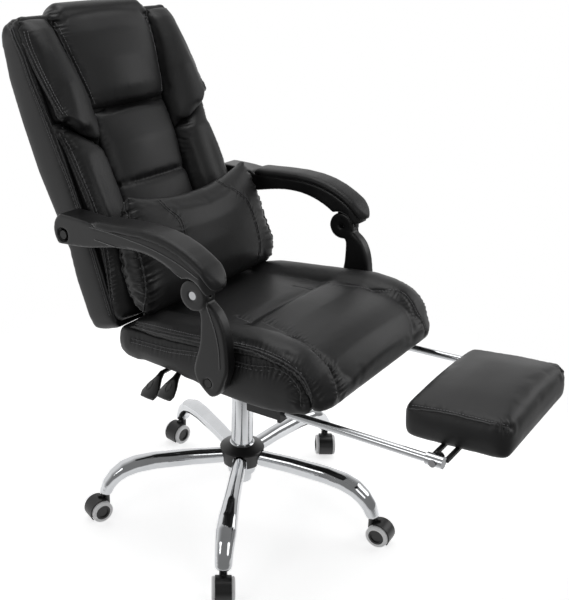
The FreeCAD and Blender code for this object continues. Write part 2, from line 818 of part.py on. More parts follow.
# Gas lift: outer tube, guide bush, pressure tube, piston rod and its bearing
def gas_lift():
    rod_hole = "rod_radius + running_fit"
    turned_piece(
        "outer_tube_body",
        "lift_outer_tube",
        [
            (rod_hole, "column_low"),
            ("column_foot_radius", "column_low"),
            ("column_radius", "column_low + column_taper"),
            ("column_radius", "column_top"),
            ("column_bore", "column_top"),
            ("column_bore", "column_low + column_floor"),
            (rod_hole, "column_low + column_floor"),
        ],
    )
    turned_piece(
        "guide_bush_body",
        "lift_guide_bush",
        [
            ("pressure_radius + running_fit", "column_top - bush_depth"),
            ("column_bore - running_fit", "column_top - bush_depth"),
            ("column_bore - running_fit", "column_top + flat_gap"),
            ("bush_flange_radius", "column_top + flat_gap"),
            ("bush_flange_radius", "column_top + flat_gap + bush_flange"),
            ("pressure_radius + running_fit", "column_top + flat_gap + bush_flange"),
        ],
    )
    turned_piece(
        "piston_rod_body",
        "lift_piston_rod",
        [
            ("0", "rod_low"),
            ("rod_radius", "rod_low"),
            ("rod_radius", "rod_top - piston_thick"),
            ("pressure_bore - running_fit", "rod_top - piston_thick"),
            ("pressure_bore - running_fit", "rod_top"),
            ("0", "rod_top"),
        ],
    )
    floor = "column_low + column_floor + flat_gap"
    turned_piece(
        "bearing_body",
        "lift_thrust_bearing",
        [
            (rod_hole, floor),
            ("bearing_radius", floor),
            ("bearing_radius", floor + " + bearing_thick"),
            (rod_hole, floor + " + bearing_thick"),
        ],
    )
    turned_piece(
        "clip_body",
        "lift_retaining_clip",
        [
            (rod_hole, "column_low - flat_gap - clip_thick"),
            ("clip_radius", "column_low - flat_gap - clip_thick"),
            ("clip_radius", "column_low - flat_gap"),
            (rod_hole, "column_low - flat_gap"),
        ],
    )
    turned_piece(
        "pressure_tube_body",
        "lift_pressure_tube",
        [
            (rod_hole, "pressure_low"),
            ("pressure_radius", "pressure_low"),
            ("pressure_radius", "pressure_top"),
            ("release_pin_radius", "pressure_top"),
            ("release_pin_radius", "pressure_top + release_pin_tall"),
            ("0", "pressure_top + release_pin_tall"),
            ("0", "pressure_top - pressure_cap"),
            ("pressure_bore", "pressure_top - pressure_cap"),
            ("pressure_bore", "pressure_low + pressure_seal"),
            (rod_hole, "pressure_low + pressure_seal"),
        ],
    )


# Casters: twin wheels on an axle under a swivelling hood
CASTER_TRAILS = [161.4, 218.4, 275.4, 218.4, 174.4]


def ring_sector(inner, outer, low_angle, high_angle, half_width):
    """Part of a ring about the wheel axle, which lies along Y."""
    centre = V(size.caster_trail, 0, size.wheel_radius)

    def at(radius, angle):
        turn = math.radians(angle)
        return centre + V(radius * math.cos(turn), -half_width, radius * math.sin(turn))

    middle = (low_angle + high_angle) / 2
    quarter = (low_angle + middle) / 2
    other = (middle + high_angle) / 2
    points = [
        (at(outer, low_angle), at(outer, quarter)),
        (at(outer, middle), at(outer, other)),
        (at(outer, high_angle), None),
    ]
    if inner > 0:
        points += [(at(inner, high_angle), at(inner, other)), (at(inner, middle), at(inner, quarter))]
        points += [(at(inner, low_angle), None)]
    else:
        points += [(centre - Y_AXIS * half_width, None)]
    return Part.Face(wire(points)).extrude(Y_AXIS * (2 * half_width))


def axle_cylinder(radius, low, high):
    """A cylinder on the wheel axle from one side place to another."""
    return Part.makeCylinder(radius, high - low, V(size.caster_trail, low, size.wheel_radius), Y_AXIS)


def caster_shapes():
    low, high = -size.hood_rear_angle, size.hood_front_angle
    shell = ring_sector(size.hood_bore, size.hood_radius, low, high, size.hood_half_width)
    web = ring_sector(0, size.hood_radius, low, high, size.hood_web)
    axle_boss = axle_cylinder(size.hood_boss_radius, -size.hood_web, size.hood_web)
    boss_tall = size.hood_top - size.hood_boss_low
    boss = Part.makeCylinder(size.hood_boss_radius, boss_tall, V(0, 0, size.hood_boss_low))
    neck_low = size.wheel_radius - size.hood_boss_radius / 2
    neck = Part.makeBox(
        size.caster_trail,
        2 * size.hood_web,
        size.hood_top - size.flat_gap - neck_low,
        V(0, -size.hood_web, neck_low),
    )
    hood = shell.fuse([web, axle_boss, boss, neck])
    stem_hole = Part.makeCylinder(
        size.stem_radius + size.running_fit,
        size.hood_top - size.stem_low + size.cut_overrun,
        V(0, 0, size.stem_low - size.flat_gap),
    )
    hood = hood.cut(stem_hole)
    axle_room = size.caster_axle_radius + size.running_fit
    hood = hood.cut(axle_cylinder(axle_room, -size.hood_radius, size.hood_radius))
    core_radius = size.tyre_bore - size.flat_gap
    wheels = axle_cylinder(size.caster_axle_radius, -size.wheel_inside, size.wheel_inside)
    tyres = []
    for side in (-1, 1):
        near, far = sorted((side * size.wheel_inside, side * size.wheel_outside))
        core = axle_cylinder(core_radius, near, far)
        floor, beyond = size.wheel_outside - size.core_dish, size.wheel_outside + size.cut_overrun
        dish = sorted((side * floor, side * beyond))
        wheels = wheels.fuse(core.cut(axle_cylinder(size.core_dish_radius, *dish)))
        tyre = axle_cylinder(size.wheel_radius, near, far)
        rims = [edge for edge in tyre.Edges if edge.Curve.TypeId == "Part::GeomCircle"]
        tyre = tyre.makeChamfer(size.tyre_round, rims)
        tyres.append(tyre.cut(axle_cylinder(size.tyre_bore, near - size.cut_overrun, far + size.cut_overrun)))
    return {"caster_hood": hood, "caster_wheels": wheels, "caster_tyres": Part.makeCompound(tyres)}


def casters():
    shapes = caster_shapes()
    stems = []
    for k, trail in enumerate(CASTER_TRAILS):
        turn = math.radians(size.first_arm_angle + k * 360 / STAR_ARMS)
        centre = V(math.cos(turn), math.sin(turn), 0) * size.stem_circle
        spot = FreeCAD.Placement(centre, FreeCAD.Rotation(Z_AXIS, trail))
        for name, shape in shapes.items():
            keep(formed(name, shape, spot), "%s_%d" % (name, k + 1))
        across, along = "stem_circle * cos(%s)" % ARM_TURNS[k], "stem_circle * sin(%s)" % ARM_TURNS[k]
        stem = cylinder(
            "caster_stem",
            "stem_radius",
            "star_arm_low + socket_depth - flat_gap - stem_low",
            (across, along, "stem_low"),
        )
        collar = cylinder(
            "stem_collar",
            "stem_collar_radius",
            "star_arm_low - hood_top - 2 * flat_gap",
            (across, along, "hood_top + flat_gap"),
        )
        stems.append(fuse("stem_and_collar", [stem, collar]))
    keep(group("stem_set", stems), "caster_stems")


ARM_TURNS = ["(first_arm_angle + %d * 72) * 1deg" % k for k in range(STAR_ARMS)]


# Seat: mechanism, board, bolts and hinge ears
def rectangle(across, ahead, behind):
    """Corners of a rectangle that is the same to both sides."""
    return [("-" + across, ahead), (across, ahead), (across, behind), ("-" + across, behind)]


def seat_mechanism():
    body = new_body("mechanism_body")
    half = "mechanism_box_half"
    outer = polygon(sketch(body, "XY_Plane", "mechanism_low"), rectangle(half, "-" + half, half))
    pad(body, outer, "seat_low - mechanism_plate - mechanism_low")
    inner_half = "(mechanism_box_half - mechanism_wall)"
    inner = sketch(body, "XY_Plane", "mechanism_low")
    polygon(inner, rectangle(inner_half, "-" + inner_half, inner_half))
    pocket(body, inner, "seat_low - mechanism_plate - mechanism_low", turned=True)
    plate_half = "mechanism_half_wide"
    plate = sketch(body, "XY_Plane", "seat_low - mechanism_plate")
    polygon(plate, rectangle(plate_half, "-mechanism_half_long", "mechanism_half_long"))
    spacing = "bolt_half_spacing"
    for across in ("-" + spacing, spacing):
        for along in ("-" + spacing, spacing):
            circle(plate, "bolt_radius + flat_gap", (across, along))
    pad(body, plate, "mechanism_plate")
    socket = circle(sketch(body, "XY_Plane", "socket_low"), "socket_radius")
    pad(body, socket, "seat_low - mechanism_plate - socket_low")
    bore = circle(sketch(body, "XY_Plane", "socket_low"), "pressure_radius + running_fit")
    pocket(body, bore, "pressure_top + flat_gap - socket_low", turned=True)
    pin = circle(sketch(body, "XY_Plane", "socket_low"), "release_pin_radius + flat_gap")
    pocket(body, pin, "pressure_top + release_pin_tall + flat_gap - socket_low", turned=True)
    for lever_name in ("height_lever", "recline_lever"):
        centre = (lever_name + "_rear", lever_name + "_high")
        face = sketch(body, "YZ_Plane", "-mechanism_box_half - cut_overrun")
        hole = circle(face, "lever_rod_radius + lever_swing_room", centre)
        pocket(body, hole, "mechanism_wall + 2 * cut_overrun", turned=True)
        lever_lugs(body, *centre)
    keep(body, "seat_mechanism")


def lever_lugs(body, rear, high):
    """Two small lugs under the plate that hold a lever's cross pin."""
    for inside in ("lever_lug_inside", "-lever_lug_inside - lever_lug_thick"):
        lug = sketch(body, "XY_Plane", high + " - lever_lug_foot")
        front = rear + " + " + inside
        polygon(
            lug,
            [
                ("-lever_pivot - lever_lug_wide / 2", front),
                ("-lever_pivot + lever_lug_wide / 2", front),
                ("-lever_pivot + lever_lug_wide / 2", front + " + lever_lug_thick"),
                ("-lever_pivot - lever_lug_wide / 2", front + " + lever_lug_thick"),
            ],
        )
        pad(body, lug, "seat_low - mechanism_plate - %s + lever_lug_foot" % high)
    pin_room = sketch(body, "XZ_Plane", "-(%s + lever_pin_half + cut_overrun)" % rear)
    circle(pin_room, "lever_pin_radius + running_fit", ("-lever_pivot", high))
    pocket(body, pin_room, "2 * lever_pin_half + 2 * cut_overrun", turned=True)


def seat_board():
    body = new_body("board_body")
    low = "seat_low + flat_gap"
    outline = sketch(body, "XY_Plane", low)
    polygon(outline, rectangle("board_half_wide", "board_front", "board_rear"))
    slab = pad(body, outline, "board_thick - flat_gap")
    doc.recompute()
    upright = [
        "Edge%d" % (k + 1)
        for k, edge in enumerate(slab.Shape.Edges)
        if abs(edge.tangentAt(edge.FirstParameter).z) > 0.9
    ]
    corner = body.newObject("PartDesign::Fillet", "corner")
    corner.Base = (slab, upright)
    bind(corner, "Radius", "board_corner")
    holes = sketch(body, "XY_Plane", low)
    for across in ("-bolt_half_spacing", "bolt_half_spacing"):
        for along in ("-bolt_half_spacing", "bolt_half_spacing"):
            circle(holes, "bolt_radius + flat_gap", (across, along))
    pocket(body, holes, "board_thick", turned=True)
    keep(body, "seat_board")
    bolts = []
    for across in ("-bolt_half_spacing", "bolt_half_spacing"):
        for along in ("-bolt_half_spacing", "bolt_half_spacing"):
            head_top = "seat_low - mechanism_plate"
            spot = (across, along, head_top + " - bolt_head_thick")
            head = cylinder("bolt_head", "bolt_head_radius", "bolt_head_thick", spot)
            shank = cylinder(
                "bolt_shank",
                "bolt_radius",
                "bolt_head_thick / 2 + mechanism_plate + board_thick",
                (across, along, head_top + " - bolt_head_thick / 2"),
            )
            bolts.append(fuse("seat_bolt", [head, shank]))
    keep(group("seat_bolt_set", bolts), "seat_board_bolts")


def hinge_bracket():
    pieces = []
    for name, inside in (("left_ear", "ear_half"), ("right_ear", "-ear_half - ear_thick")):
        body = new_body(name)
        outline = polygon(
            sketch(body, "YZ_Plane", inside),
            [
                ("ear_foot_front", "seat_low - flat_gap"),
                ("ear_foot_front", "seat_low - flat_gap - ear_thick"),
                ("hinge_rear - hinge_eye_radius", "hinge_high - 2.6 * hinge_eye_radius"),
                ("hinge_rear + 0.7 * hinge_eye_radius", "hinge_high - 0.72 * hinge_eye_radius"),
                ("hinge_rear - 0.7 * hinge_eye_radius", "hinge_high + 0.72 * hinge_eye_radius"),
                ("hinge_rear - hinge_eye_radius / 2", "seat_low - flat_gap"),
            ],
        )
        pad(body, outline, "ear_thick")
        eye = circle(sketch(body, "YZ_Plane", inside), "hinge_eye_radius", ("hinge_rear", "hinge_high"))
        pad(body, eye, "ear_thick")
        bore = sketch(body, "YZ_Plane", inside)
        circle(bore, "hinge_pin_radius + running_fit", ("hinge_rear", "hinge_high"))
        pocket(body, bore, "ear_thick", turned=True)
        pieces.append(body)
    foot = box(
        "bracket_foot",
        "2 * ear_half",
        "ear_foot_rear - ear_foot_front",
        "ear_thick",
        ("-ear_half", "ear_foot_front", "seat_low - flat_gap - ear_thick"),
    )
    room = box(
        "foot_room",
        "2 * mechanism_half_wide + 2 * flat_gap",
        "mechanism_half_long + flat_gap",
        "3 * ear_thick",
        ("-mechanism_half_wide - flat_gap", "0", "seat_low - 2 * ear_thick"),
    )
    pieces.append(cut("trimmed_foot", foot, room))
    collar = cylinder(
        "collar_ring",
        "collar_radius",
        "2 * collar_half",
        ("-collar_half", "hinge_rear", "hinge_high"),
        Y_AXIS,
        "90",
    )
    strap = box(
        "collar_strap",
        "2 * collar_half",
        "hinge_rear - ear_foot_rear + ear_thick",
        "ear_thick",
        ("-collar_half", "ear_foot_rear - ear_thick", "seat_low - flat_gap - ear_thick"),
    )
    riser = box(
        "collar_riser",
        "2 * collar_half",
        "ear_thick",
        "hinge_high - seat_low + ear_thick",
        ("-collar_half", "hinge_rear - ear_thick / 2", "seat_low - flat_gap - ear_thick"),
    )
    bore = cylinder(
        "collar_bore",
        "hinge_pin_radius + running_fit",
        "2 * collar_half + 2 * cut_overrun",
        ("-collar_half - cut_overrun", "hinge_rear", "hinge_high"),
        Y_AXIS,
        "90",
    )
    whole = fuse("hinge_bracket_whole", pieces + [collar, strap, riser])
    keep(cut("hinge_bracket", whole, bore), "seat_hinge_bracket")


# Seat cushions: boxing below, crowned pad with side bolsters above
def seat_at(share):
    """Place along the seat, from its rear."""
    return size.seat_rear - share * size.seat_depth


def seat_level(share):
    """Height over the underside of the seat."""
    return size.seat_low + share * size.seat_groove_rise


def seat_base_cushion():
    sections = []
    bulge = size.seat_side_bulge
    for depth, width, low, high in SEAT_BOX_SHARES:
        half, along = width * size.seat_half_width, seat_at(depth)
        bottom, top = seat_level(low), seat_level(high)
        inset = min(2 * bulge, (top - bottom) / 6)
        right_mid = V(half + bulge / 2, along, (bottom + top) / 2)
        left_mid = V(-half - bulge / 2, along, (bottom + top) / 2)
        sections.append(
            wire(
                [
                    (V(-half + inset, along, bottom), None),
                    (V(half - inset, along, bottom), right_mid),
                    (V(half - inset, along, top), None),
                    (V(-half + inset, along, top), left_mid),
                ]
            )
        )
    cushion = loft(sections)
    room = size.board_half_wide + size.flat_gap
    front, rear = size.board_front - size.flat_gap, size.board_rear + size.flat_gap
    tall = size.board_thick + 2 * size.flat_gap + size.cut_overrun
    corner = V(-room, front, size.seat_low - size.cut_overrun + size.flat_gap)
    recess = Part.makeBox(2 * room, rear - front, tall, corner)
    cushion = cushion.cut(recess)
    for side in (-1, 1):
        start = V(side * (size.upright_inside + size.cut_overrun), -size.foot_front, size.foot_high)
        depth = size.upright_gap + size.foot_bolt_depth + size.cut_overrun + size.flat_gap
        hole = Part.makeCylinder(size.arm_bolt_radius + size.flat_gap, depth, start, X_AXIS * -side)
        cushion = cushion.cut(hole)
    keep(formed("seat_base_form", cushion), "seat_base_cushion")


def seat_top_cushion():
    sections = []
    bulge = size.seat_side_bulge
    for depth, width, low, edge, crest, seam, middle in SEAT_PAD_SHARES:
        along = seat_at(depth)
        half = width * size.seat_half_width
        bottom, piping = seat_level(low) + size.soft_gap, seat_level(edge)
        crest_at = width * size.bolster_crest_half
        seam_at = width * size.seat_seam_half
        inset = 2 * bulge
        side_mid, level_mid = half + bulge / 2, (bottom + piping) / 2
        points = [(V(-half + inset, along, bottom), None)]
        points.append((V(half - inset, along, bottom), V(side_mid, along, level_mid)))
        points.append((V(half - 2 * inset, along, piping), V(crest_at, along, seat_level(crest))))
        points.append((V(seam_at, along, seat_level(seam)), V(0, along, seat_level(middle))))
        points.append((V(-seam_at, along, seat_level(seam)), V(-crest_at, along, seat_level(crest))))
        points.append((V(-half + 2 * inset, along, piping), V(-side_mid, along, level_mid)))
        sections.append(wire(points))
    keep(formed("seat_pad_form", loft(sections)), "seat_top_cushion")


# Back: everything below is drawn upright at the hinge and then leans back
def side_pad(shares):
    """A crowned pad at the left side of the back, from its inner to its outer edge."""
    sections = []
    for high, inner, outer, edge_in, middle, edge_out in shares:
        up = high * size.back_length
        near, far = inner * size.back_half_width + size.soft_gap, outer * size.back_half_width
        rise = [share * size.back_crown for share in (edge_in, middle, edge_out)]
        sections.append(
            wire(
                [
                    (V(near, 0, up), None),
                    (V(far, 0, up), None),
                    (V(far, -rise[2], up), V((near + far) / 2, -rise[1] - size.soft_gap, up)),
                    (V(near, -rise[0], up), None),
                ]
            )
        )
    return loft(sections)


def middle_pad(shares):
    """A crowned pad across the middle of the back."""
    sections = []
    for high, width, edge, middle in shares:
        up, half = high * size.back_length, width * size.back_half_width - size.soft_gap
        crown = V(0, -middle * size.back_crown - size.soft_gap, up)
        sections.append(
            wire(
                [
                    (V(-half, 0, up), None),
                    (V(half, 0, up), None),
                    (V(half, -edge * size.back_crown, up), crown),
                    (V(-half, -edge * size.back_crown, up), None),
                ]
            )
        )
    return loft(sections)


def head_roll():
    """The roll of the head pillow that lies on top of the rear panel."""
    sections = []
    for high, width, ahead, behind in HEAD_ROLL_SHARES:
        up, half = high * size.back_length, width * size.back_half_width
        front, rear = -ahead * size.back_crown, behind * size.back_depth
        crown = V(0, front - size.back_crown * ahead / 2 - size.soft_gap, up)
        corners = [(V(-half, rear, up), None), (V(half, rear, up), None)]
        corners += [(V(half, front, up), crown), (V(-half, front, up), None)]
        sections.append(wire(corners))
    return loft(sections)


def both_sides(shape):
    """The shape and its mirror image as two separate solids."""
    return Part.makeCompound([shape, shape.mirror(V(), X_AXIS)])


def rear_panel():
    sections = []
    inset_share, depth_share = REAR_CORNER_SHARES
    for high, width, depth in REAR_PANEL_SHARES:
        up, half, deep = high * size.back_length, width * size.back_half_width, depth * size.back_depth
        corner = half - inset_share * deep
        sections.append(
            wire(
                [
                    (V(-half, size.flat_gap, up), None),
                    (V(half, size.flat_gap, up), V(half, deep / 2, up)),
                    (V(corner, depth_share * deep, up), V(0, deep + size.flat_gap, up)),
                    (V(-corner, depth_share * deep, up), V(-half, deep / 2, up)),
                ]
            )
        )
    panel = loft(sections)
    gap = size.flat_gap
    half = size.back_board_half + gap
    thick = size.back_board_thick + 2 * gap + size.cut_overrun
    tall = size.back_board_high - size.back_board_low + 2 * gap
    board_room = Part.makeBox(2 * half, thick, tall, V(-half, -size.cut_overrun, size.back_board_low - gap))
    half = size.bracket_half + size.bracket_thick + 2 * gap
    deep = size.back_board_thick + size.bracket_deep + 2 * gap + size.cut_overrun
    bracket_room = Part.makeBox(2 * half, deep, size.bracket_plate_high + gap, V(-half, -size.cut_overrun, 0))
    panel = panel.cut(board_room).cut(bracket_room)
    keep(formed("rear_panel_form", panel, back_placement()), "back_rear_panel")


def back_cushions():
    spot = back_placement()
    keep(formed("head_pillow_form", middle_pad(HEAD_PILLOW_SHARES).fuse(head_roll()), spot), "head_pillow")
    keep(formed("centre_pad_form", middle_pad(CENTRE_PAD_SHARES), spot), "back_centre_cushion")
    keep(formed("wing_forms", both_sides(side_pad(WING_SHARES)), spot), "back_wings")
    bolster = side_pad(BOLSTER_SHARES)
    along, up = rear_bolt_in_back()
    reach = size.rear_bolt_depth + size.flat_gap + size.arm_inside - size.back_half_width
    hole = Part.makeCylinder(
        size.rear_bolt_radius + size.flat_gap,
        reach + size.cut_overrun,
        V(size.arm_inside + size.cut_overrun, along, up),
        X_AXIS * -1,
    )
    keep(formed("bolster_forms", both_sides(bolster.cut(hole)), spot), "back_bolsters")


def rear_bolt_in_back():
    """The rear arm bolt's place in the back's own frame: depth and height."""
    return -size.rear_bolt_ahead, size.rear_bolt_rise


def back_board():
    body = new_body("back_board_body")
    place(body, BACK_BASE, X_AXIS, "-back_lean")
    outline = polygon(
        sketch(body, "XZ_Plane", "-flat_gap"),
        rectangle("back_board_half", "back_board_low", "back_board_high"),
    )
    slab = pad(body, outline, "back_board_thick")
    slab.Reversed = True
    keep(body, "back_board")


def back_bracket():
    body = new_body("back_bracket_body")
    place(body, BACK_BASE, X_AXIS, "-back_lean")
    face = "-(back_board_thick + 2 * flat_gap)"
    plate = polygon(
        sketch(body, "XZ_Plane", face),
        rectangle("bracket_half", "bracket_plate_low", "bracket_plate_high"),
    )
    slab = pad(body, plate, "bracket_thick")
    slab.Reversed = True
    inside = "(ear_half + ear_thick + 2 * flat_gap)"
    for offset in (inside, "-" + inside + " - bracket_thick"):
        front = "back_board_thick + 2 * flat_gap"
        bar = polygon(
            sketch(body, "YZ_Plane", offset),
            [
                (front, "bracket_plate_high"),
                (front, "back_board_low - flat_gap"),
                ("-hinge_eye_radius * 0.9", "hinge_eye_radius * 0.4"),
                ("hinge_eye_radius * 0.6", "-hinge_eye_radius * 0.8"),
                (front + " + bracket_deep - flat_gap", "back_board_low"),
                (front + " + bracket_deep - flat_gap", "bracket_plate_low"),
                (front + " + bracket_deep / 2", "bracket_plate_high"),
            ],
        )
        pad(body, bar, "bracket_thick")
        eye = circle(sketch(body, "YZ_Plane", offset), "hinge_eye_radius")
        pad(body, eye, "bracket_thick")
        bore = circle(sketch(body, "YZ_Plane", offset), "hinge_pin_radius + running_fit")
        pocket(body, bore, "bracket_thick", turned=True)
    keep(body, "back_bracket")
    pin = cylinder(
        "hinge_pin_shape",
        "hinge_pin_radius",
        "2 * hinge_pin_half",
        ("-hinge_pin_half", "hinge_rear", "hinge_high"),
        Y_AXIS,
        "90",
    )
    keep(pin, "recline_hinge_pin")


def lumbar_pillow():
    sections = []
    for high, width, lean, edge, thick in PILLOW_SHARES:
        up, half = size.pillow_low + high * size.pillow_tall, width * size.pillow_half_width
        depth = -size.pillow_offset - lean * size.pillow_tip
        rim, belly = edge * size.pillow_half_thick, thick * size.pillow_half_thick
        back = min(belly, -depth - size.back_crown * PILLOW_REST_SHARE)
        sections.append(
            wire(
                [
                    (V(-half, depth + rim, up), V(0, depth + back, up)),
                    (V(half, depth + rim, up), None),
                    (V(half, depth - rim, up), V(0, depth - belly, up)),
                    (V(-half, depth - rim, up), None),
                ]
            )
        )
    keep(formed("pillow_form", loft(sections), back_placement()), "lumbar_pillow")


# Arms: an upright on the seat's side and an armrest linked to it and to the back
def arm_points(shares, across):
    """Places beside the knuckle, in the plane of an arm's side."""
    reach = size.arm_rear + size.knuckle_front
    rise = size.knuckle_high - size.foot_high
    start, level = -size.knuckle_front, size.knuckle_high
    return [V(across, start + ahead * reach, level + up * rise) for ahead, up in shares]


def upright_points(shares, across):
    """Places of the upright, from the height of its foot bolt."""
    rise = size.knuckle_high - size.foot_high
    return [V(across, -size.knuckle_front + ahead * rise, size.foot_high + up * rise) for ahead, up in shares]


def knuckle_round(radius, low, high):
    """A cylinder on the knuckle's axis from one side place to another."""
    return Part.makeCylinder(radius, high - low, V(low, -size.knuckle_front, size.knuckle_high), X_AXIS)


def rounded_sides(shape, radius, low, high):
    """Round the edges that lie on the two sides of an arm piece."""
    rims = []
    for edge in shape.Edges:
        places = [vertex.Point.x for vertex in edge.Vertexes]
        if all(abs(place_x - low) < size.running_fit for place_x in places):
            rims.append(edge)
        elif all(abs(place_x - high) < size.running_fit for place_x in places):
            rims.append(edge)
    return shape.makeFillet(radius, rims)


def arm_upright():
    low, width = size.upright_inside, size.upright_width
    outline = smooth(upright_points(UPRIGHT_SHARES, low), closed=True)
    post = Part.Face(Part.Wire([outline])).extrude(X_AXIS * width)
    post = rounded_sides(post, size.upright_edge_round, low, low + width)
    knuckle = knuckle_round(size.knuckle_radius, low, low + width + size.knuckle_proud)
    knuckle = knuckle.makeChamfer(size.upright_edge_round / 2, [knuckle.Edges[0], knuckle.Edges[2]])
    upright = post.fuse(knuckle)
    middle = low + width / 2
    slot_low, slot_high = middle - size.tongue_slot / 2, middle + size.tongue_slot / 2
    slot = knuckle_round(size.tongue_radius + 2 * size.flat_gap, slot_low, slot_high)
    opening = Part.makeBox(
        size.tongue_slot,
        4 * size.knuckle_radius,
        2 * size.knuckle_radius,
        V(slot_low, -size.knuckle_front - 2 * size.knuckle_radius, size.knuckle_high),
    )
    upright = upright.cut(slot.fuse(opening))
    pin_room = size.arm_pin_radius + size.running_fit
    upright = upright.cut(knuckle_round(pin_room, low - size.cut_overrun, low + 2 * width))
    head_floor = low + width + size.knuckle_proud - size.arm_bolt_head_thick
    head_room = size.arm_pin_head_radius + size.flat_gap
    upright = upright.cut(knuckle_round(head_room, head_floor, low + 2 * width))
    foot = V(low - size.cut_overrun, -size.foot_front, size.foot_high)
    upright = upright.cut(Part.makeCylinder(size.arm_bolt_radius + size.running_fit, 2 * width, foot, X_AXIS))
    recess = V(low + width - size.arm_bolt_head_thick - size.flat_gap, -size.foot_front, size.foot_high)
    return upright.cut(Part.makeCylinder(size.arm_recess_radius, width, recess, X_AXIS))


def armrest_frame():
    low, width = size.arm_inside, size.arm_width
    seam = arm_points(ARM_SEAM_SHARES, low)
    under = arm_points(ARM_UNDER_SHARES, low)
    centre = V(low, -size.knuckle_front, size.knuckle_high)
    clear = size.knuckle_radius + size.knuckle_clearance

    def about(radius, angle):
        turn = math.radians(angle)
        return centre + V(0, radius * math.cos(turn), radius * math.sin(turn))

    bolt = V(low, size.arm_rear, size.arm_rear_high)
    ends = {name: V(0, *share) * size.arm_end_radius for name, share in ARM_END_SHARES.items()}
    rear_top, rear_tip, rear_low = bolt + ends["top"], bolt + ends["tip"], bolt + ends["low"]
    block_top = V(low, seam[0].y + ends["block"].y, bolt.z + ends["block"].z)
    nose_low = about(clear + size.arm_edge_round, size.arm_nose_angle)
    pocket_rear = about(clear, size.arm_pocket_rear_angle)
    pocket_top = about(clear, size.arm_pocket_top_angle)
    pocket_front = about(clear, size.arm_pocket_front_angle)
    block_mid = (block_top + rear_top) / 2 + V(0, 0, size.arm_edge_round / 4)
    nose_front = V(low, seam[-1].y - size.arm_edge_round / 2, seam[-1].z - size.arm_edge_round)
    edges = [
        Part.makeLine(seam[0], block_top),
        Part.Arc(block_top, block_mid, rear_top).toShape(),
        Part.Arc(rear_top, rear_tip, rear_low).toShape(),
        smooth([rear_low] + under + [pocket_rear]),
        Part.Arc(pocket_rear, pocket_top, pocket_front).toShape(),
        Part.makeLine(pocket_front, nose_low),
        Part.makeLine(nose_low, nose_front),
        Part.makeLine(nose_front, seam[-1]),
        smooth(seam[::-1]),
    ]
    frame = Part.Face(Part.Wire(Part.__sortEdges__(edges))).extrude(X_AXIS * width)
    middle = size.upright_inside + size.upright_width / 2
    tongue_low, tongue_high = middle - size.tongue_thick / 2, middle + size.tongue_thick / 2
    tongue = knuckle_round(size.tongue_radius, tongue_low, tongue_high)
    half = size.tongue_radius - size.tongue_slot
    neck = Part.makeBox(
        size.tongue_thick,
        2 * half,
        clear + size.arm_edge_round,
        V(tongue_low, -size.knuckle_front - half, size.knuckle_high),
    )
    frame = frame.fuse([tongue, neck])
    frame = frame.cut(knuckle_round(size.arm_pin_radius + size.running_fit, low, low + width))
    play = size.rear_bolt_radius + size.rear_bolt_play + 2 * size.flat_gap
    frame = frame.cut(Part.makeCylinder(play, 2 * width, bolt - X_AXIS * size.cut_overrun, X_AXIS))
    recess_low = low + width - size.arm_bolt_head_thick - 2 * size.flat_gap
    recess = V(recess_low, size.arm_rear, size.arm_rear_high)
    room = size.rear_bolt_head_radius + size.rear_bolt_play + 2 * size.flat_gap
    return frame.cut(Part.makeCylinder(room, width, recess, X_AXIS))


def armrest_pad():
    low, width, corner = size.arm_inside, size.arm_width, size.arm_edge_round
    top = smooth(arm_points(ARM_PAD_TOP_SHARES, low))
    seam = smooth(arm_points(ARM_SEAM_SHARES, low))
    sections = []
    for share in PAD_STATION_SHARES:
        above = top.valueAt(top.FirstParameter + share * (top.LastParameter - top.FirstParameter))
        below = seam.valueAt(seam.FirstParameter + share * (seam.LastParameter - seam.FirstParameter))
        below = below + V(0, 0, size.soft_gap)
        rise = above - below
        round_in = min(corner, rise.Length / 2)
        up = rise * ((rise.Length - round_in) / rise.Length)
        side = X_AXIS * width
        step = X_AXIS * round_in
        tuck_in = round_in * ROUND_TUCK_SHARE
        tuck = X_AXIS * tuck_in + rise * (1 - tuck_in / rise.Length)
        points = [(below + step / 4, None)]
        points.append((below + side - step / 4, below + side + up / 2 + step / 8))
        points.append((below + side + up, below + side - X_AXIS * (2 * tuck_in) + tuck))
        shoulder = below + rise * PAD_SHOULDER_SHARE
        points.append((shoulder + side - step, below + side / 2 + rise * PAD_CROWN_SHARE))
        points.append((shoulder + step, below + tuck))
        points.append((below + up, below + up / 2 - step / 8))
        sections.append(wire(points))
    return loft(sections)


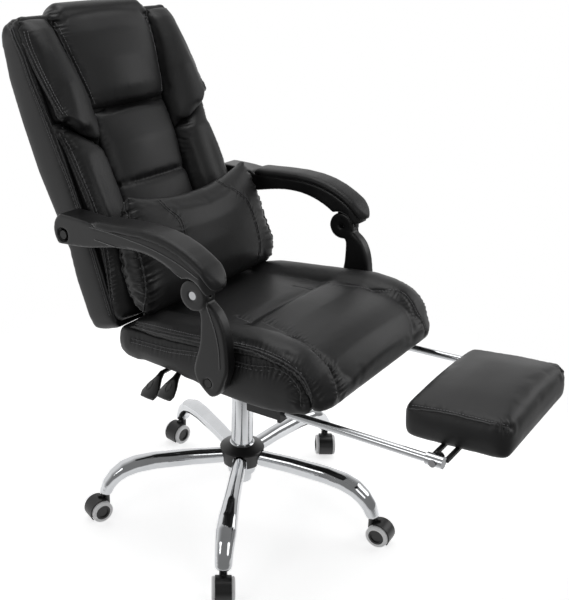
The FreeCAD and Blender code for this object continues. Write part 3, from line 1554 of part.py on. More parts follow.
def arm_fasteners():
    low, width = size.upright_inside, size.upright_width
    proud = low + width + size.knuckle_proud
    head_low = proud - size.arm_bolt_head_thick + size.flat_gap
    pin = knuckle_round(size.arm_pin_radius, low + size.flat_gap, head_low)
    pin = pin.fuse(knuckle_round(size.arm_pin_head_radius, head_low, proud - size.flat_gap))
    foot = V(0, -size.foot_front, size.foot_high)
    start = size.seat_half_width - size.foot_bolt_depth
    head = low + width - size.arm_bolt_head_thick
    bolt = Part.makeCylinder(size.arm_bolt_radius, head - start, foot + X_AXIS * start, X_AXIS)
    head_thick = size.arm_bolt_head_thick
    bolt = bolt.fuse(Part.makeCylinder(size.arm_bolt_head_radius, head_thick, foot + X_AXIS * head, X_AXIS))
    washer = size.seat_half_width + size.seat_side_bulge / 2 + size.flat_gap
    spacer_long = low - size.flat_gap - washer
    bolt = bolt.fuse(Part.makeCylinder(size.foot_spacer_radius, spacer_long, foot + X_AXIS * washer, X_AXIS))
    rear = V(0, size.arm_rear, size.arm_rear_high)
    start = size.back_half_width - size.rear_bolt_depth
    head = size.arm_inside + size.arm_width - size.arm_bolt_head_thick
    screw = Part.makeCylinder(size.rear_bolt_radius, head - start, rear + X_AXIS * start, X_AXIS)
    screw_head = Part.makeCylinder(size.rear_bolt_head_radius, head_thick, rear + X_AXIS * head, X_AXIS)
    return pin, bolt, screw.fuse(screw_head)


def linked_arms():
    pin, bolt, screw = arm_fasteners()
    pieces = {
        "arm_upright": arm_upright(),
        "armrest_frame": armrest_frame(),
        "armrest_pad": armrest_pad(),
        "arm_knuckle_pin": pin,
    }
    for name, shape in pieces.items():
        left = keep(formed(name + "_shape", shape), name + "_left")
        keep(mirrored(name + "_mirror", left), name + "_right")
    keep(formed("foot_bolts", both_sides(bolt)), "arm_foot_bolts")
    keep(formed("rear_bolts", both_sides(screw)), "arm_rear_bolts")


# Footrest: guides under the seat, sliding rails and a pad that tips over on their ends
def footrest_guides():
    guide = box(
        "guide_tube",
        "2 * guide_half",
        "guide_length",
        "2 * guide_half",
        (
            "rail_half_spacing - guide_half",
            "-guide_front * slope_cosine - guide_half * slope_sine",
            "rail_height + guide_front * slope_sine - guide_half * slope_cosine",
        ),
        X_AXIS,
        "-rail_slope",
    )
    lip = box(
        "guide_lip",
        "2 * guide_half + 2 * guide_lip",
        "guide_lip_length",
        "2 * guide_half + 2 * guide_lip",
        (
            "rail_half_spacing - guide_half - guide_lip",
            "-guide_front * slope_cosine - (guide_half + guide_lip) * slope_sine",
            "rail_height + guide_front * slope_sine - (guide_half + guide_lip) * slope_cosine",
        ),
        X_AXIS,
        "-rail_slope",
    )
    hanger = box(
        "hanger",
        "2 * guide_half - 2 * guide_lip",
        "hanger_length",
        "rail_drop - flat_gap",
        ("rail_half_spacing - guide_half + guide_lip", "-hanger_front", "rail_height"),
    )
    bore = cylinder(
        "guide_bore",
        "rail_radius + running_fit",
        "guide_length + guide_front + 2 * cut_overrun",
        ("rail_half_spacing", "guide_length", "rail_height - guide_length * tan(rail_slope * 1deg)"),
        X_AXIS,
        "90 - rail_slope",
    )
    guide_cut = cut("footrest_guide", fuse("guide_whole", [guide, lip, hanger]), bore)
    keep(group("guide_pair", [guide_cut, mirrored("guide_mirror", guide_cut)]), "footrest_guides")


def footrest_rails():
    tube_front = "(rail_front - rail_end_length / 2)"
    rail = cylinder(
        "rail_tube",
        "rail_radius",
        "rail_length",
        (
            "rail_half_spacing",
            "(rail_length - rail_front) * slope_cosine",
            "rail_height + (rail_front - rail_length) * slope_sine",
        ),
        X_AXIS,
        "90 - rail_slope",
    )
    end = cylinder(
        "rail_end",
        "rail_end_radius",
        "rail_end_length",
        (
            "rail_half_spacing",
            "-" + tube_front + " * slope_cosine",
            "rail_height + " + tube_front + " * slope_sine",
        ),
        X_AXIS,
        "90 - rail_slope",
    )
    eye = cylinder(
        "rail_eye",
        "foot_screw_radius + running_fit",
        "4 * rail_end_radius",
        (
            "rail_half_spacing - 2 * rail_end_radius",
            "-rail_front * slope_cosine",
            "rail_height + rail_front * slope_sine",
        ),
        Y_AXIS,
        "90",
    )
    one = cut("rail_and_end", fuse("rail_whole", [rail, end]), eye)
    keep(group("rail_pair", [one, mirrored("rail_mirror", one)]), "footrest_rails")


def pivot():
    """The footrest pad's tipping axis, at the front ends of the rails."""
    slope = math.radians(size.rail_slope)
    return V(0, -size.rail_front * math.cos(slope), size.rail_height + size.rail_front * math.sin(slope))


def pad_placement():
    """The pad's own frame: origin at the rear edge of its underside, +Y rearwards."""
    return FreeCAD.Placement(V(0, -size.pad_rear, size.pad_low), FreeCAD.Rotation(X_AXIS, -size.pad_tilt))


def footrest_frame():
    centre = pad_placement().inverse().multVec(pivot())
    thick, wide, gap = size.foot_bar_thick, size.foot_bar_wide, size.flat_gap
    plate_top = -gap
    plate = Part.makeBox(
        2 * size.foot_plate_half_wide,
        size.foot_plate_long,
        size.foot_plate_thick,
        V(-size.foot_plate_half_wide, centre.y - size.foot_plate_long / 2, plate_top - size.foot_plate_thick),
    )
    pieces = [plate]
    bar_top = plate_top - size.foot_plate_thick / 2
    for side in (-1, 1):
        along = centre.y + side * size.foot_bar_spacing / 2 - wide / 2
        bar_corner = V(-size.foot_frame_half, along, bar_top - thick)
        pieces.append(Part.makeBox(2 * size.foot_frame_half, wide, thick, bar_corner))
        lug_low = side * size.foot_frame_half - (size.foot_bar_thick if side > 0 else 0)
        lug_spot = V(lug_low, centre.y, centre.z)
        lug = Part.makeCylinder(size.foot_frame_lug, size.foot_bar_thick, lug_spot, X_AXIS)
        arm_low = min(centre.z, bar_top - thick)
        span = size.foot_bar_spacing + wide
        web_tall = abs(centre.z - bar_top + thick / 2)
        web = Part.makeBox(size.foot_bar_thick, span, web_tall, V(lug_low, centre.y - span / 2, arm_low))
        pieces.append(lug.fuse(web))
    frame = pieces[0].fuse(pieces[1:])
    hole = size.foot_screw_radius + size.running_fit
    reach = size.foot_frame_half + size.cut_overrun
    bore = Part.makeCylinder(hole, 2 * reach, V(-reach, centre.y, centre.z), X_AXIS)
    keep(formed("pad_frame_form", frame.cut(bore), pad_placement()), "footrest_frame")


def footrest_screws():
    spot = pivot()
    start = size.foot_frame_half - size.foot_bar_thick
    head = size.rail_half_spacing + size.rail_end_radius + size.flat_gap
    shank = Part.makeCylinder(size.foot_screw_radius, head - start, spot + X_AXIS * start, X_AXIS)
    head_spot = spot + X_AXIS * head
    cap = Part.makeCylinder(size.foot_screw_head_radius, size.foot_screw_head_thick, head_spot, X_AXIS)
    keep(formed("pivot_screws", both_sides(shank.fuse(cap))), "footrest_pivot_screws")


def footrest_pad():
    round_in = size.pad_side_round
    shoulder = size.pad_corner / 2
    sections = []
    for along_share, width_share, tall_share in FOOT_PAD_SHARES:
        along, half = -along_share * size.pad_long, width_share * size.pad_half_width
        tall, crown = tall_share * size.pad_thick, size.pad_crown * tall_share
        side_mid, low_mid = half + size.pad_crown / 4, half - round_in / 4
        edge, edge_mid = half - shoulder, half - round_in / 2
        high_mid = tall - round_in + crown / 4
        points = [(V(-half + round_in, along, 0), None)]
        points.append((V(half - round_in, along, 0), V(low_mid, along, round_in / 3)))
        points.append((V(half, along, round_in), V(side_mid, along, tall / 2)))
        points.append((V(half, along, tall - 2 * round_in), V(edge_mid, along, high_mid)))
        points.append((V(edge, along, tall - crown / 2), V(0, along, tall + crown)))
        points.append((V(-edge, along, tall - crown / 2), V(-edge_mid, along, high_mid)))
        points.append((V(-half, along, tall - 2 * round_in), V(-side_mid, along, tall / 2)))
        points.append((V(-half, along, round_in), V(-low_mid, along, round_in / 3)))
        sections.append(wire(points))
    keep(formed("footrest_pad_form", loft(sections), pad_placement()), "footrest_pad")


# Levers: a steel rod from the mechanism with a flat moulded grip.
# Shares along the grip from the rod: reach, width and thickness
PADDLE_SHARES = [(-0.03, 0.24, 0.8), (0.2, 0.34, 1.0), (0.55, 0.8, 1.0), (0.82, 1.0, 0.9), (1.0, 0.86, 0.6)]


def lever(label, rear, high, reach):
    corner = V(-reach, rear, high)
    inner_end = V(-size.lever_inner, rear, high)
    rod = Part.makeCylinder(size.lever_rod_radius, reach - size.lever_inner, inner_end, X_AXIS * -1)
    pin_end = V(-size.lever_pivot, rear - size.lever_pin_half, high)
    rod = rod.fuse(Part.makeCylinder(size.lever_pin_radius, 2 * size.lever_pin_half, pin_end, Y_AXIS))
    droop = math.radians(size.paddle_droop)
    along = V(-math.cos(droop), 0, -math.sin(droop))
    up = V(-math.sin(droop), 0, math.cos(droop))
    sections = []
    for share, wide_share, thick_share in PADDLE_SHARES:
        centre = corner + along * (share * size.paddle_length)
        half, thick = wide_share * size.paddle_wide / 2, thick_share * size.paddle_thick / 2
        side = Y_AXIS * half
        rim = thick / 2
        sections.append(
            wire(
                [
                    (centre - side - up * rim, centre - up * thick),
                    (centre + side - up * rim, None),
                    (centre + side + up * rim, centre + up * thick),
                    (centre - side + up * rim, None),
                ]
            )
        )
    keep(formed(label + "_form", rod.fuse(loft(sections))), label)


def levers():
    lever("height_lever", size.height_lever_rear, size.height_lever_high, size.height_lever_reach)
    lever("recline_lever", size.recline_lever_rear, size.recline_lever_high, size.recline_lever_reach)


star_base()
hub_cover()
gas_lift()
casters()
seat_mechanism()
seat_board()
hinge_bracket()
seat_base_cushion()
seat_top_cushion()
rear_panel()
back_cushions()
back_board()
back_bracket()
lumbar_pillow()
linked_arms()
footrest_guides()
footrest_rails()
footrest_frame()
footrest_screws()
footrest_pad()
levers()

doc.recompute()
faults = []
for item in doc.Objects:
    if "Invalid" in item.State or "Error" in item.State:
        faults.append("%s is %s" % (item.Label, item.State))
for node in nodes:
    if node.Shape.isNull() or not node.Shape.isValid():
        faults.append("%s has no sound shape" % node.Label)
if faults:
    raise RuntimeError("; ".join(faults))
os.makedirs("parts", exist_ok=True)
for node in nodes:
    node.Shape.exportStep("parts/%s.step" % node.Label)
    print(node.Label, len(node.Shape.Solids), round(node.Shape.Volume))
print(len(nodes), "sub-parts written")
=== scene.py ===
import json
import math
import bmesh
import bpy
import numpy as np
from mathutils import Matrix, Vector
from mathutils.bvhtree import BVHTree


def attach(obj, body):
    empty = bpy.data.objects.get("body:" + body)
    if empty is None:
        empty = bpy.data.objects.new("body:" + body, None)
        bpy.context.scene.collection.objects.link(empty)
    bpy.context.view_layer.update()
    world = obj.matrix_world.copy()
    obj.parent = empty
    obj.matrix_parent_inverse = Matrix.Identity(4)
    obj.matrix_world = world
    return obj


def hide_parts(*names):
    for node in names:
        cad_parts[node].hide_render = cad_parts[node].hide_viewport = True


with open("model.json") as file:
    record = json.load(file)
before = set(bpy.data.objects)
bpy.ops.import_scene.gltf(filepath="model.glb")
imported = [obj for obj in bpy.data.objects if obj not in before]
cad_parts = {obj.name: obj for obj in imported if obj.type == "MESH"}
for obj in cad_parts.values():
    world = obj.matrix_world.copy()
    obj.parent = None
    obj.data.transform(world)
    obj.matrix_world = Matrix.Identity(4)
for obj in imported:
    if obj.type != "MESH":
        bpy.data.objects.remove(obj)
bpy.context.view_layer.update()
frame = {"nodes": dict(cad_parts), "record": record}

scene = bpy.context.scene
scene.view_settings.view_transform = "Standard"
nodes = frame["nodes"]
MM = 0.001

# Camera of the photograph, fitted to the caster stems and the seat
VIEW_AZIMUTH = math.radians(-51.6)
VIEW_ELEVATION = math.radians(22.5)
CAMERA_PLACE = (-1.4141, -1.0299, 1.2531)
PHOTO_LONG_SIDE = 600  # pixels, as are the three below
FOCAL_LENGTH = 874
CENTRE_SHIFT_X = 73
CENTRE_SHIFT_Y = -4
SENSOR_WIDTH = 36
VIEW_FAR = 50


def set_camera():
    """The camera at the photograph's place."""
    sine, cosine = math.sin(VIEW_AZIMUTH), math.cos(VIEW_AZIMUTH)
    level = math.cos(VIEW_ELEVATION)
    back = Vector((sine * level, -cosine * level, math.sin(VIEW_ELEVATION)))
    right = Vector((cosine, sine, 0))
    up = back.cross(right)
    turn = Matrix((right, up, back)).transposed().to_4x4()
    bpy.ops.object.camera_add()
    camera = bpy.context.object
    camera.matrix_world = Matrix.Translation(CAMERA_PLACE) @ turn
    camera.data.sensor_width = SENSOR_WIDTH
    camera.data.lens = FOCAL_LENGTH / PHOTO_LONG_SIDE * SENSOR_WIDTH
    camera.data.shift_x = CENTRE_SHIFT_X / PHOTO_LONG_SIDE
    camera.data.shift_y = CENTRE_SHIFT_Y / PHOTO_LONG_SIDE
    camera.data.clip_end = VIEW_FAR
    scene.camera = camera


set_camera()


# Selection and mesh helpers
def pick_only(item):
    """Select one object alone and make it active."""
    bpy.ops.object.select_all(action="DESELECT")
    item.select_set(True)
    bpy.context.view_layer.objects.active = item


def keep_place(item):
    """Put an object's place into its mesh."""
    pick_only(item)
    bpy.ops.object.transform_apply(location=True, rotation=True, scale=True)
    return item


def add_modifier(item, kind, **values):
    """Add a modifier with its values and apply it."""
    pick_only(item)
    modifier = item.modifiers.new(kind.lower(), kind)
    for name, value in values.items():
        setattr(modifier, name, value)
    bpy.ops.object.modifier_apply(modifier=modifier.name)


def mesh_points(item):
    """The places of an object's vertices."""
    places = np.empty(len(item.data.vertices) * 3)
    item.data.vertices.foreach_get("co", places)
    return places.reshape(-1, 3)


def move_points(item, places):
    """Give an object's vertices new places."""
    item.data.vertices.foreach_set("co", places.ravel())
    item.data.update()


def mesh_normals(item):
    """The normals of an object's vertices."""
    normals = np.empty(len(item.data.vertices) * 3)
    item.data.vertex_normals.foreach_get("vector", normals)
    return normals.reshape(-1, 3)


def rise(values, low, high):
    """A smooth step from 0 to 1 between two values."""
    share = np.clip((values - low) / (high - low), 0, 1)
    return share * share * (3 - 2 * share)


def fall(values, low, high):
    """A smooth step from 1 to 0 between two values."""
    return 1 - rise(values, low, high)


# Materials
def node_group(name, inputs, outputs):
    """An empty shader group with named sockets: (name, kind, value)."""
    tree = bpy.data.node_groups.new(name, "ShaderNodeTree")
    for label, kind, value in inputs:
        socket = tree.interface.new_socket(label, in_out="INPUT", socket_type=kind)
        socket.default_value = value
    for label, kind in outputs:
        tree.interface.new_socket(label, in_out="OUTPUT", socket_type=kind)
    start = tree.nodes.new("NodeGroupInput")
    end = tree.nodes.new("NodeGroupOutput")
    return tree, start, end


def link(tree, source, target):
    """Join two sockets."""
    tree.links.new(source, target)


def fill(item, sockets):
    """Set a node's sockets from a table of names and values."""
    for name, value in sockets.items():
        item.inputs[name].default_value = value


def shader(tree, kind, sockets=None, **settings):
    """A shader node with its socket values and settings."""
    item = tree.nodes.new(kind)
    for name, value in settings.items():
        setattr(item, name, value)
    fill(item, sockets or {})
    return item


def math_node(tree, operation, first, second):
    """A math node between sockets or numbers."""
    item = shader(tree, "ShaderNodeMath", operation=operation)
    for index, value in enumerate((first, second)):
        if isinstance(value, (int, float)):
            item.inputs[index].default_value = value
        else:
            link(tree, value, item.inputs[index])
    return item.outputs[0]


GRAIN_SHARE = 0.16  # height of the pebbles beside that of the creases


def make_leather_grain():
    """Pebbled grain, soft creases and a slow change of tone for leather."""
    tree, start, end = node_group(
        "leather_grain",
        [
            ("Grain Scale", "NodeSocketFloat", 700.0),
            ("Crease Scale", "NodeSocketFloat", 26.0),
            ("Crease Amount", "NodeSocketFloat", 0.35),
        ],
        [("Height", "NodeSocketFloat"), ("Tone", "NodeSocketFloat")],
    )
    place = shader(tree, "ShaderNodeTexCoord")
    grain = shader(tree, "ShaderNodeTexVoronoi", feature="F1")
    link(tree, place.outputs["Object"], grain.inputs["Vector"])
    link(tree, start.outputs["Grain Scale"], grain.inputs["Scale"])
    crease = shader(tree, "ShaderNodeTexNoise", {"Detail": 5, "Roughness": 0.55, "Distortion": 0.6})
    link(tree, place.outputs["Object"], crease.inputs["Vector"])
    link(tree, start.outputs["Crease Scale"], crease.inputs["Scale"])
    slow = shader(tree, "ShaderNodeTexNoise", {"Scale": 7, "Detail": 3})
    link(tree, place.outputs["Object"], slow.inputs["Vector"])
    grain_part = math_node(tree, "MULTIPLY", grain.outputs["Distance"], GRAIN_SHARE)
    crease_part = math_node(tree, "MULTIPLY", crease.outputs["Fac"], start.outputs["Crease Amount"])
    total = math_node(tree, "ADD", grain_part, crease_part)
    link(tree, total, end.inputs["Height"])
    link(tree, slow.outputs["Fac"], end.inputs["Tone"])
    return tree


LEATHER_GRAIN = make_leather_grain()


def make_fine_wear():
    """Handling smears and fine specks for moulded and plated surfaces."""
    tree, start, end = node_group(
        "fine_wear",
        [("Smear Scale", "NodeSocketFloat", 14.0), ("Speck Scale", "NodeSocketFloat", 900.0)],
        [("Smear", "NodeSocketFloat"), ("Speck", "NodeSocketFloat")],
    )
    place = shader(tree, "ShaderNodeTexCoord")
    smear = shader(tree, "ShaderNodeTexNoise", {"Detail": 6})
    link(tree, place.outputs["Object"], smear.inputs["Vector"])
    link(tree, start.outputs["Smear Scale"], smear.inputs["Scale"])
    speck = shader(tree, "ShaderNodeTexNoise", {"Detail": 2})
    link(tree, place.outputs["Object"], speck.inputs["Vector"])
    link(tree, start.outputs["Speck Scale"], speck.inputs["Scale"])
    link(tree, smear.outputs["Fac"], end.inputs["Smear"])
    link(tree, speck.outputs["Fac"], end.inputs["Speck"])
    return tree


FINE_WEAR = make_fine_wear()


NOISE_LOW, NOISE_HIGH = 0.3, 0.7  # where a noise pattern's values mostly lie


def ramp_between(tree, factor, low, high):
    """A colour ramp from one colour to another."""
    item = shader(tree, "ShaderNodeValToRGB")
    for stop, colour, position in zip(item.color_ramp.elements, (low, high), (NOISE_LOW, NOISE_HIGH)):
        stop.color = (*colour, 1)
        stop.position = position
    link(tree, factor, item.inputs["Fac"])
    return item.outputs["Color"]


def range_between(tree, factor, low, high, start=NOISE_LOW, end=NOISE_HIGH, **settings):
    """A number that runs from one value to another while the factor runs from start to end."""
    span = {"From Min": start, "From Max": end, "To Min": low, "To Max": high}
    item = shader(tree, "ShaderNodeMapRange", span, **settings)
    link(tree, factor, item.inputs["Value"])
    return item.outputs["Result"]


def new_material(name):
    """A node material with its Principled shader."""
    material = bpy.data.materials.new(name)
    material.use_nodes = True
    return material, material.node_tree, material.node_tree.nodes["Principled BSDF"]


def bump_from(tree, height, bsdf, strength, distance):
    """Raise the surface by a height."""
    bump = shader(tree, "ShaderNodeBump", {"Strength": strength, "Distance": distance})
    link(tree, height, bump.inputs["Height"])
    link(tree, bump.outputs["Normal"], bsdf.inputs["Normal"])


def tone_from(tree, factor, bsdf, dark, light, rough):
    """Vary a finish's colour and roughness by one factor."""
    link(tree, ramp_between(tree, factor, dark, light), bsdf.inputs["Base Color"])
    link(tree, range_between(tree, factor, *rough), bsdf.inputs["Roughness"])


def leather(name, dark, light, rough, crease=0.35):
    """Coated leather with a soft sheen."""
    material, tree, bsdf = new_material(name)
    grain = shader(tree, "ShaderNodeGroup", node_tree=LEATHER_GRAIN)
    fill(grain, {"Crease Amount": crease})
    tone_from(tree, grain.outputs["Tone"], bsdf, dark, light, rough)
    fill(bsdf, {"Specular IOR Level": 0.36})
    bump_from(tree, grain.outputs["Height"], bsdf, 0.35, 0.002)
    return material


def moulded(name, dark, light, rough, coat=0.0):
    """Moulded plastic or paint with faint smears and a fine texture."""
    material, tree, bsdf = new_material(name)
    wear = shader(tree, "ShaderNodeGroup", node_tree=FINE_WEAR)
    tone_from(tree, wear.outputs["Smear"], bsdf, dark, light, rough)
    fill(bsdf, {"Coat Weight": coat, "Coat Roughness": 0.08})
    bump_from(tree, wear.outputs["Speck"], bsdf, 0.06, 0.0004)
    return material


def plated(name, dark, light, rough):
    """Metal with faint smears in its polish."""
    material, tree, bsdf = new_material(name)
    wear = shader(tree, "ShaderNodeGroup", node_tree=FINE_WEAR)
    tone_from(tree, wear.outputs["Smear"], bsdf, dark, light, rough)
    fill(bsdf, {"Metallic": 1})
    bump_from(tree, wear.outputs["Smear"], bsdf, 0.02, 0.0004)
    return material


black_leather = leather("black_leather", (0.0090, 0.0090, 0.0093), (0.0120, 0.0120, 0.0124), (0.38, 0.48))
satin_plastic = moulded("satin_plastic", (0.006, 0.006, 0.0063), (0.009, 0.009, 0.0093), (0.30, 0.42))
# Ridge lines on the arms: black moulded plastic given a lighter grey base colour, a painted highlight along
# the raised lines
ridge_plastic_painted_highlight = moulded("ridge_plastic_painted_highlight", (0.045, 0.045, 0.046), (0.060, 0.060, 0.062), (0.20, 0.30), coat=0.6)
gloss_plastic = moulded("gloss_plastic", (0.005,) * 3, (0.008,) * 3, (0.14, 0.22), coat=0.6)
chrome = plated("chrome", (0.55, 0.56, 0.575), (0.64, 0.65, 0.665), (0.05, 0.12))
machined = plated("machined_steel", (0.34, 0.34, 0.35), (0.45, 0.45, 0.46), (0.28, 0.42))
painted = moulded("painted_steel", (0.010, 0.010, 0.010), (0.016, 0.016, 0.016), (0.42, 0.55))
tread = moulded("pale_tread", (0.84, 0.84, 0.845), (0.92, 0.92, 0.925), (0.40, 0.55))
lining = moulded("black_lining", (0.004, 0.004, 0.004), (0.007, 0.007, 0.007), (0.85, 0.95))
# Welts and piping: the pads' black leather given a lighter base colour, a painted highlight along the beads
welt_leather_painted_highlight = leather(
    "welt_leather_painted_highlight", (0.030, 0.030, 0.031), (0.055, 0.055, 0.056), (0.24, 0.34), crease=0.1
)
# Stitch thread: dark thread given a pale grey base colour, a painted highlight along the seams
thread_painted_highlight = moulded("thread_painted_highlight", (0.13, 0.13, 0.135), (0.22, 0.22, 0.225), (0.45, 0.6))

SLOT_FINISH = {
    "chrome": chrome,
    "black_leather": black_leather,
    "black_plastic": satin_plastic,
    "gloss_black": satin_plastic,
    "black_steel": painted,
    "bright_steel": machined,
    "plywood": lining,
    "wheel_tread": tread,
}


def dress(item, material):
    """Give an object one material."""
    item.data.materials.clear()
    item.data.materials.append(material)


for part in frame["record"]["subparts"]:
    dress(nodes[part["node"]], SLOT_FINISH[part["material_slot"]])
for name in ("arm_rear_bolts", "arm_foot_bolts"):
    dress(nodes[name], painted)
for name in ("height_lever", "recline_lever"):
    dress(nodes[name], gloss_plastic)
for name in ("arm_knuckle_pin_left", "arm_knuckle_pin_right", "caster_stems"):
    dress(nodes[name], chrome)


# Pieces that start as copies of their solids
MERGE_NEAR = 0.00002


def relax(item, rounds):
    """Average each point with its neighbours a number of times."""
    add_modifier(item, "SMOOTH", factor=0.5, iterations=rounds)


def refine(item):
    """One subdivision, before the seams are drawn in."""
    add_modifier(item, "SUBSURF", levels=1, render_levels=1)


def even_copy(node, name, voxel=0.005, rounding=6, grow=0.0028):
    """A merged copy of a plain solid, remeshed evenly, rounded and filled out again."""
    item = bpy.data.objects.new(name, nodes[node].data.copy())
    scene.collection.objects.link(item)
    pick_only(item)
    bpy.ops.object.mode_set(mode="EDIT")
    bpy.ops.mesh.select_all(action="SELECT")
    bpy.ops.mesh.remove_doubles(threshold=MERGE_NEAR)
    bpy.ops.mesh.normals_make_consistent(inside=False)
    bpy.ops.object.mode_set(mode="OBJECT")
    add_modifier(item, "REMESH", mode="VOXEL", voxel_size=voxel, use_smooth_shade=True)
    relax(item, rounding)
    move_points(item, mesh_points(item) + mesh_normals(item) * grow)
    return item


CLOTH_FRAMES = 20
CLOTH_QUALITY = 4
NO_LENGTH = 1e-9


def swell(item, pressure, most, where=None):
    """Fill a pad by a short cloth simulation and cap how far each point moves."""
    start = mesh_points(item)
    pick_only(item)
    cloth = item.modifiers.new("cloth", "CLOTH")
    cloth.settings.use_pressure = True
    cloth.settings.uniform_pressure_force = pressure
    cloth.settings.effector_weights.gravity = 0
    cloth.settings.quality = CLOTH_QUALITY
    cloth.collision_settings.use_collision = False
    for number in range(CLOTH_FRAMES):
        scene.frame_set(number + 1)
    bpy.ops.object.modifier_apply(modifier=cloth.name)
    step = mesh_points(item) - start
    length = np.linalg.norm(step, axis=1, keepdims=True)
    step *= np.minimum(1, most / np.maximum(length, NO_LENGTH))
    if where is not None:
        step *= where(start)[:, None]
    move_points(item, start + step)
    scene.frame_set(1)
    relax(item, 3)


def nearest_on_line(points, line):
    """For each point its distance to a polyline, the step from it and the length along it."""
    line = np.asarray(line, float)
    best = np.full(len(points), 1e9)
    away = np.zeros((len(points), 3))
    along = np.zeros(len(points))
    run = 0.0
    for first, second in zip(line[:-1], line[1:]):
        step = second - first
        length = np.linalg.norm(step)
        share = np.clip((points - first) @ step / length**2, 0, 1)
        offset = points - first - share[:, None] * step
        distance = np.linalg.norm(offset, axis=1)
        closer = distance < best
        best[closer] = distance[closer]
        away[closer] = offset[closer]
        along[closer] = run + share[closer] * length
        run += length
    return best, away, along, run


def smooth_line(points, count=60):
    """A dense smooth line through a few places (Catmull-Rom)."""
    points = [np.asarray(point, float) for point in points]
    points = [2 * points[0] - points[1]] + points + [2 * points[-1] - points[-2]]
    spans = len(points) - 3
    result = []
    for index in range(count + 1):
        at = min(index / count * spans, spans - NO_LENGTH)
        k, t = int(at), at - int(at)
        a, b, c, d = points[k : k + 4]
        square, cube = 2 * a - 5 * b + 4 * c - d, 3 * b - a - 3 * c + d
        result.append(0.5 * (2 * b + (c - a) * t + square * t**2 + cube * t**3))
    return np.array(result)


NO_VALLEY = (0.0, 1.0)
# Folds: two trains that lean away from their seam, the first with a spacing that wanders
FOLD_LEAN = 0.25
FOLD_WANDER, FOLD_WANDER_RATE = 1.7, 1.3
FOLD_MAIN = 0.75
FOLD_FINE, FOLD_FINE_RATE, FOLD_FINE_START = 0.35, 1.7, 1.0
ONE_SIDE = (-0.003, 0.004)  # how far a gather on one side fades across its seam


def sew(item, line, valley, folds=None, side=None, swing=None):
    """Draw a seam in along a line, with gathers beside it, on one side of it where one is named.

    valley is the seam's depth and width. folds are the gathers' height, their spacing and how far
    they run out. swing makes them heavier or lighter along the line.
    """
    depth, width = valley
    places, normals = mesh_points(item), mesh_normals(item)
    distance, away, along, run = nearest_on_line(places, line)
    push = -depth * np.exp(-((distance / width) ** 2))
    if folds:
        height, pitch, reach = folds
        lean = (along + FOLD_LEAN * distance) / pitch
        wave = np.sin(lean * math.tau + FOLD_WANDER * np.sin(lean * FOLD_WANDER_RATE))
        wave = FOLD_MAIN * wave + FOLD_FINE * np.sin(lean * math.tau * FOLD_FINE_RATE + FOLD_FINE_START)
        share = height * np.exp(-((distance / reach) ** 2))
        if side is not None:
            share = share * rise(away @ np.asarray(side, float), *ONE_SIDE)
        if swing is not None:
            share = share * np.interp(along / run, *swing)
        push += wave * share
    move_points(item, places + normals * push[:, None])


def on_surface(item, line, lift):
    """The line laid on a piece's surface and lifted off it, with the surface's normals."""
    tree = BVHTree.FromObject(item, bpy.context.evaluated_depsgraph_get())
    laid, normals = [], []
    for point in line:
        place, normal, _, _ = tree.find_nearest(Vector(point))
        laid.append(place + normal * lift)
        normals.append(normal)
    return laid, normals


BEAD_LIFT = 0.35  # of its radius
BEAD_TAPER = 0.5
SCALLOP_TURN = 2.1


def cord_edge(name, item, line, body, radius, scallop=0.0, material=None):
    """A sewn-in welt: a thin bead laid along a line on a piece, with scallops where it is gathered."""
    places, _ = on_surface(item, line, radius * BEAD_LIFT)
    curve = bpy.data.curves.new(name, "CURVE")
    curve.dimensions = "3D"
    curve.bevel_depth = radius
    curve.bevel_resolution = 2
    curve.use_fill_caps = True
    spline = curve.splines.new("POLY")
    spline.points.add(len(places) - 1)
    for index, (point, place) in enumerate(zip(spline.points, places)):
        taper = BEAD_TAPER if index in (0, len(places) - 1) else 0
        point.co = (*place, 1)
        point.radius = 1 + scallop * math.sin(index * SCALLOP_TURN) - taper
    bead = bpy.data.objects.new(name, curve)
    scene.collection.objects.link(bead)
    pick_only(bead)
    bpy.ops.object.convert(target="MESH")
    bpy.ops.object.shade_smooth()
    bead = bpy.context.object
    # unless another finish is given, the bead takes the lighter welt leather, whose pale tone is a painted
    # highlight
    dress(bead, material or welt_leather_painted_highlight)
    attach(bead, body)


def pick_faces(item, wanted):
    """Open a piece for editing with only the faces selected whose normals pass a test."""
    pick_only(item)
    bpy.ops.object.mode_set(mode="EDIT")
    bpy.ops.mesh.select_mode(type="FACE")
    bpy.ops.mesh.select_all(action="DESELECT")
    mesh = bmesh.from_edit_mesh(item.data)
    for face in mesh.faces:
        face.select_set(bool(wanted(face.normal)))
    bmesh.update_edit_mesh(item.data)


THREAD_THICK = 0.0011
THREAD_LIFT = 0.15  # of its thickness
STITCH_LONG = 0.0034
STITCH_STEP = 0.0056
STITCH_SHORTEST = 0.4  # of the step
TUCK_ALONG, TUCK_DOWN, TUCK_SIZE = 0.6, 0.5, 0.6
FACES_END = 0.9


def make_stitch():
    """One stitch of thread along X, its ends tucked down into the leather."""
    bpy.ops.object.select_all(action="DESELECT")
    along_x = (0, math.pi / 2, 0)
    bpy.ops.mesh.primitive_cylinder_add(
        vertices=6, radius=THREAD_THICK / 2, depth=STITCH_LONG, rotation=along_x
    )
    stitch = keep_place(bpy.context.object)
    for end in (-1, 1):
        pick_faces(stitch, lambda normal: normal.x * end > FACES_END)
        tuck = (end * THREAD_THICK * TUCK_ALONG, 0, -THREAD_THICK * TUCK_DOWN)
        bpy.ops.mesh.extrude_region_move(TRANSFORM_OT_translate={"value": tuck})
        bpy.ops.transform.resize(value=(TUCK_SIZE, TUCK_SIZE, TUCK_SIZE))
        bpy.ops.object.mode_set(mode="OBJECT")
    bpy.ops.object.shade_smooth()
    return stitch


STITCH = make_stitch()


